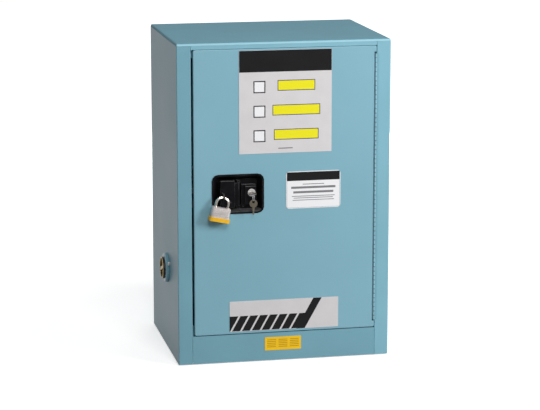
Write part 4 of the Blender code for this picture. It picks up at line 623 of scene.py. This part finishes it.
# Padlock: a body of riveted steel plates, a polished shackle and a yellow plastic bumper. It hangs
# from the paddle at a lean, so the seams between its plates lean with it.
PADLOCK_HANG = Vector(next(joint["pos_m"] for joint in frame["joints"] if joint["name"] == "padlock_swing"))
PADLOCK_TILT = Matrix.Rotation(math.radians(12), 3, "Y")
PADLOCK_UP = PADLOCK_TILT @ Vector((0, 0, 1))
PLATE_PITCH = 0.0030
PLATE_SEAM_SHARE = 0.22
PLATE_SEAM_DEPTH = 0.7
SEAM_GREY = (0.10, 0.09, 0.09)
PLATES = dict(mottle=0.14, mottle_scale=90.0, pebble_scale=600.0, pebble_height=0.00005, wear=0.6,
              wear_radius=0.0005, stretch=(0.15, 1, 1))
lock_steel = coated("lock_steel", (0.80, 0.75, 0.75), 0.42, (0.90, 0.87, 0.86), metallic=0.45, **PLATES)
laminated_steel = coated("laminated_steel", (0.86, 0.80, 0.78), 0.36, (0.92, 0.89, 0.87), metallic=0.50,
                         **PLATES)


def laminate(material):
    """Dark seams between the stacked plates, square to the padlock's own height."""
    tree = material.node_tree
    below = vector_math(tree, "SUBTRACT", own_place(tree), PADLOCK_HANG)["Vector"]
    drop = vector_math(tree, "DOT_PRODUCT", below, PADLOCK_UP)["Value"]
    share = node_math(tree, "FRACT", node_math(tree, "DIVIDE", drop, PLATE_PITCH))
    seam = node_math(tree, "LESS_THAN", share, PLATE_SEAM_SHARE)
    print_over(material, node_math(tree, "MULTIPLY", seam, PLATE_SEAM_DEPTH), SEAM_GREY)


laminate(laminated_steel)
dress(laminated_steel, "padlock_body")
shackle_steel = coated("shackle_steel", (0.74, 0.69, 0.62), 0.20, (0.84, 0.80, 0.74), mottle=0.10,
                       mottle_scale=60.0, pebble_height=0.00001, wear=0.3, metallic=1.0)
dress(shackle_steel, "padlock_shackle")
bumper_plastic = coated("bumper_plastic", (0.80, 0.44, 0.010), 0.38, (0.86, 0.58, 0.10), mottle=0.06,
                        mottle_scale=60.0, pebble_scale=900.0, wear=0.4, wear_radius=0.0010)
dress(bumper_plastic, "padlock_bumper")

# Small fasteners: pan-head screws with a cross recess, and rivets with a low crown, all of steel.
# Those of the handle are black like it, and the rest are plated. Each group rides on the piece
# that it is driven into.
HEAD_SIDES = 20
CROWN_SHARE = 0.45
SEATED_SHARE = 0.45
TURN_SEED = 7


def head_tree(name, crossed):
    """Sets one crowned head, crossed or plain, on every point, along the point's own direction."""
    tree = bpy.data.node_groups.new(name, "GeometryNodeTree")
    tree.interface.new_socket("Geometry", in_out="INPUT", socket_type="NodeSocketGeometry")
    for label, value in (("Head Radius", 0.0022), ("Head Height", 0.0010), ("Crown", 0.0004),
                         ("Recess Width", 0.0006), ("Recess Depth", 0.0007)):
        socket = tree.interface.new_socket(label, in_out="INPUT", socket_type="NodeSocketFloat")
        socket.default_value = value
    tree.interface.new_socket("Turn Seed", in_out="INPUT", socket_type="NodeSocketInt")
    tree.interface.new_socket("Finish", in_out="INPUT", socket_type="NodeSocketMaterial")
    tree.interface.new_socket("Geometry", in_out="OUTPUT", socket_type="NodeSocketGeometry")
    nodes, links = tree.nodes, tree.links
    given, result = nodes.new("NodeGroupInput").outputs, nodes.new("NodeGroupOutput")

    def vector_of(**parts):
        """A vector from the sockets of its parts; a part left out is 0."""
        joined = nodes.new("ShaderNodeCombineXYZ")
        for axis, value in parts.items():
            links.new(value, joined.inputs[axis])
        return joined.outputs["Vector"]

    def raised(shape, share):
        """The shape, moved up by a share of the head's height."""
        moved = nodes.new("GeometryNodeTransform")
        links.new(shape, moved.inputs["Geometry"])
        links.new(vector_of(Z=node_math(tree, "MULTIPLY", given["Head Height"], share)),
                  moved.inputs["Translation"])
        return moved.outputs["Geometry"]

    disc = nodes.new("GeometryNodeMeshCylinder")
    disc.fill_type = "TRIANGLE_FAN"
    disc.inputs["Vertices"].default_value = HEAD_SIDES
    disc.inputs["Fill Segments"].default_value = 3
    links.new(given["Head Radius"], disc.inputs["Radius"])
    links.new(given["Head Height"], disc.inputs["Depth"])
    point = parted(tree, nodes.new("GeometryNodeInputPosition").outputs["Position"])
    x_square, y_square, radius_square = (node_math(tree, "MULTIPLY", length, length)
                                         for length in (point["X"], point["Y"], given["Head Radius"]))
    out_share = node_math(tree, "DIVIDE", node_math(tree, "ADD", x_square, y_square), radius_square)
    fall = node_math(tree, "MULTIPLY", node_math(tree, "MULTIPLY", out_share, given["Crown"]), -1)
    on_top = node_math(tree, "GREATER_THAN", point["Z"], 0)
    crowned = nodes.new("GeometryNodeSetPosition")
    links.new(disc.outputs["Mesh"], crowned.inputs["Geometry"])
    links.new(vector_of(Z=node_math(tree, "MULTIPLY", fall, on_top)), crowned.inputs["Offset"])
    head = crowned.outputs["Geometry"]
    arms = (("X", "Y"), ("Y", "X")) if crossed else ()
    for along, across in arms:
        blade = nodes.new("GeometryNodeMeshCube")
        links.new(vector_of(**{along: given["Head Radius"], across: given["Recess Width"],
                               "Z": node_math(tree, "MULTIPLY", given["Recess Depth"], 2)}),
                  blade.inputs["Size"])
        sunk = nodes.new("GeometryNodeMeshBoolean")
        sunk.operation = "DIFFERENCE"
        links.new(head, sunk.inputs["Mesh 1"])
        links.new(raised(blade.outputs["Mesh"], 0.5), sunk.inputs["Mesh 2"])
        head = sunk.outputs["Mesh"]
    aim = nodes.new("GeometryNodeInputNamedAttribute")
    aim.data_type = "FLOAT_VECTOR"
    aim.inputs["Name"].default_value = "aim"
    faced = nodes.new("FunctionNodeAlignRotationToVector")
    faced.axis = "Z"
    links.new(aim.outputs["Attribute"], faced.inputs["Vector"])
    chance = nodes.new("FunctionNodeRandomValue")
    chance.data_type = "FLOAT"
    chance.inputs[3].default_value = math.pi / 2
    links.new(given["Turn Seed"], chance.inputs["Seed"])
    spin = nodes.new("FunctionNodeAxisAngleToRotation")
    links.new(chance.outputs[1], spin.inputs["Angle"])
    turned = nodes.new("FunctionNodeRotateRotation")
    turned.rotation_space = "LOCAL"
    links.new(faced.outputs["Rotation"], turned.inputs["Rotation"])
    links.new(spin.outputs["Rotation"], turned.inputs["Rotate By"])
    spread = nodes.new("GeometryNodeInstanceOnPoints")
    links.new(given["Geometry"], spread.inputs["Points"])
    links.new(raised(head, SEATED_SHARE), spread.inputs["Instance"])
    links.new(turned.outputs["Rotation"], spread.inputs["Rotation"])
    real = nodes.new("GeometryNodeRealizeInstances")
    links.new(spread.outputs["Instances"], real.inputs["Geometry"])
    finished = nodes.new("GeometryNodeSetMaterial")
    links.new(real.outputs["Geometry"], finished.inputs["Geometry"])
    links.new(given["Finish"], finished.inputs["Material"])
    links.new(finished.outputs["Geometry"], result.inputs["Geometry"])
    return tree


def set_heads(name, tree, finish, body, places, radius, height):
    """Heads at (place, direction) pairs, made a plain mesh that rides on one body."""
    mesh = bpy.data.meshes.new(name + "_points")
    mesh.from_pydata([place for place, aim in places], [], [])
    mesh.attributes.new("aim", "FLOAT_VECTOR", "POINT")
    for index, (place, aim) in enumerate(places):
        mesh.attributes["aim"].data[index].vector = aim
    points = bpy.data.objects.new(name + "_points", mesh)
    bpy.context.scene.collection.objects.link(points)
    heads = points.modifiers.new("heads", "NODES")
    heads.node_group = tree
    sockets = {item.name: item.identifier for item in tree.interface.items_tree if item.in_out == "INPUT"}
    heads[sockets["Head Radius"]] = radius
    heads[sockets["Head Height"]] = height
    heads[sockets["Crown"]] = height * CROWN_SHARE
    heads[sockets["Turn Seed"]] = TURN_SEED
    heads[sockets["Finish"]] = finish
    evaluated = points.evaluated_get(bpy.context.evaluated_depsgraph_get())
    piece = bpy.data.objects.new(name, bpy.data.meshes.new_from_object(evaluated))
    bpy.data.objects.remove(points)
    bpy.context.scene.collection.objects.link(piece)
    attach(piece, body)


SCREW_HEADS = head_tree("screw_heads", True)
RIVET_HEADS = head_tree("rivet_heads", False)

DISH_WALL = 0.0020
DISH_SCREW_Z = 0.4366
dish_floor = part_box("handle_dish")[1].y - DISH_WALL
set_heads("dish_screws", SCREW_HEADS, rod_black, "door",
          [((x, dish_floor, DISH_SCREW_Z), (0, -1, 0)) for x in (-0.1120, -0.0830)],
          radius=0.0022, height=0.0014)
PADDLE_RIVET = (-0.1510, -0.211225, 0.4530)
set_heads("paddle_rivet", RIVET_HEADS, rod_black, "paddle", [(PADDLE_RIVET, (0, -1, 0))],
          radius=0.0024, height=0.0010)

LEAF_SHEET = 0.0010
LEAF_RIVETS = 12
LEAF_RIVET_Y = -0.2034
hinge_low, hinge_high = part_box("hinge_frame_leaf")
door_leaf_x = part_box("hinge_door_leaf")[0].x + LEAF_SHEET
rivet_pitch = (hinge_high.z - hinge_low.z) / LEAF_RIVETS
for name, body, x, aim, shift in (("door_leaf_rivets", "door", door_leaf_x, 1, 0.30),
                                  ("frame_leaf_rivets", "cabinet", hinge_high.x - LEAF_SHEET, -1, 0.70)):
    set_heads(name, RIVET_HEADS, zinc_plate, body,
              [((x, LEAF_RIVET_Y, hinge_low.z + (k + shift) * rivet_pitch), (aim, 0, 0))
               for k in range(LEAF_RIVETS)], radius=0.0019, height=0.0008)

STRIKE_RIVET_Y = -0.1660
STRIKE_ENDS = (-0.009, 0.009)
upper_x, upper_face = middle("upper_strike").x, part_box("upper_strike")[0].z
lower_x, lower_face = middle("lower_strike").x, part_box("lower_strike")[1].z
side_z, side_face = middle("side_strike").z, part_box("side_strike")[1].x
strike_rivets = [((upper_x + end, STRIKE_RIVET_Y, upper_face), (0, 0, -1)) for end in STRIKE_ENDS]
strike_rivets += [((lower_x + end, STRIKE_RIVET_Y, lower_face), (0, 0, 1)) for end in STRIKE_ENDS]
strike_rivets += [((side_face, STRIKE_RIVET_Y, side_z + end), (1, 0, 0)) for end in STRIKE_ENDS]
set_heads("strike_rivets", RIVET_HEADS, zinc_plate, "cabinet", strike_rivets,
          radius=0.0019, height=0.0009)

RAIL_SHEET = 0.0015
RAIL_SCREW_Z = 0.4400
rail_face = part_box("right_shelf_rail")[1].x - RAIL_SHEET
rail_screws = [((side * rail_face, y, RAIL_SCREW_Z), (-side, 0, 0))
               for side in (-1, 1) for y in (-0.09, 0.03, 0.15)]
set_heads("rail_screws", SCREW_HEADS, zinc_plate, "cabinet", rail_screws,
          radius=0.0032, height=0.0016)

PLATES_TOP = -0.0286
LOCK_RIVET_X, LOCK_RIVET_Y = 0.0223, 0.0084
lock_rivets = [(PADLOCK_HANG + PADLOCK_TILT @ Vector((x, y, PLATES_TOP)), PADLOCK_UP)
               for x in (-LOCK_RIVET_X, LOCK_RIVET_X) for y in (-LOCK_RIVET_Y, LOCK_RIVET_Y)]
set_heads("padlock_rivets", RIVET_HEADS, lock_steel, "padlock", lock_rivets,
          radius=0.0016, height=0.0012)
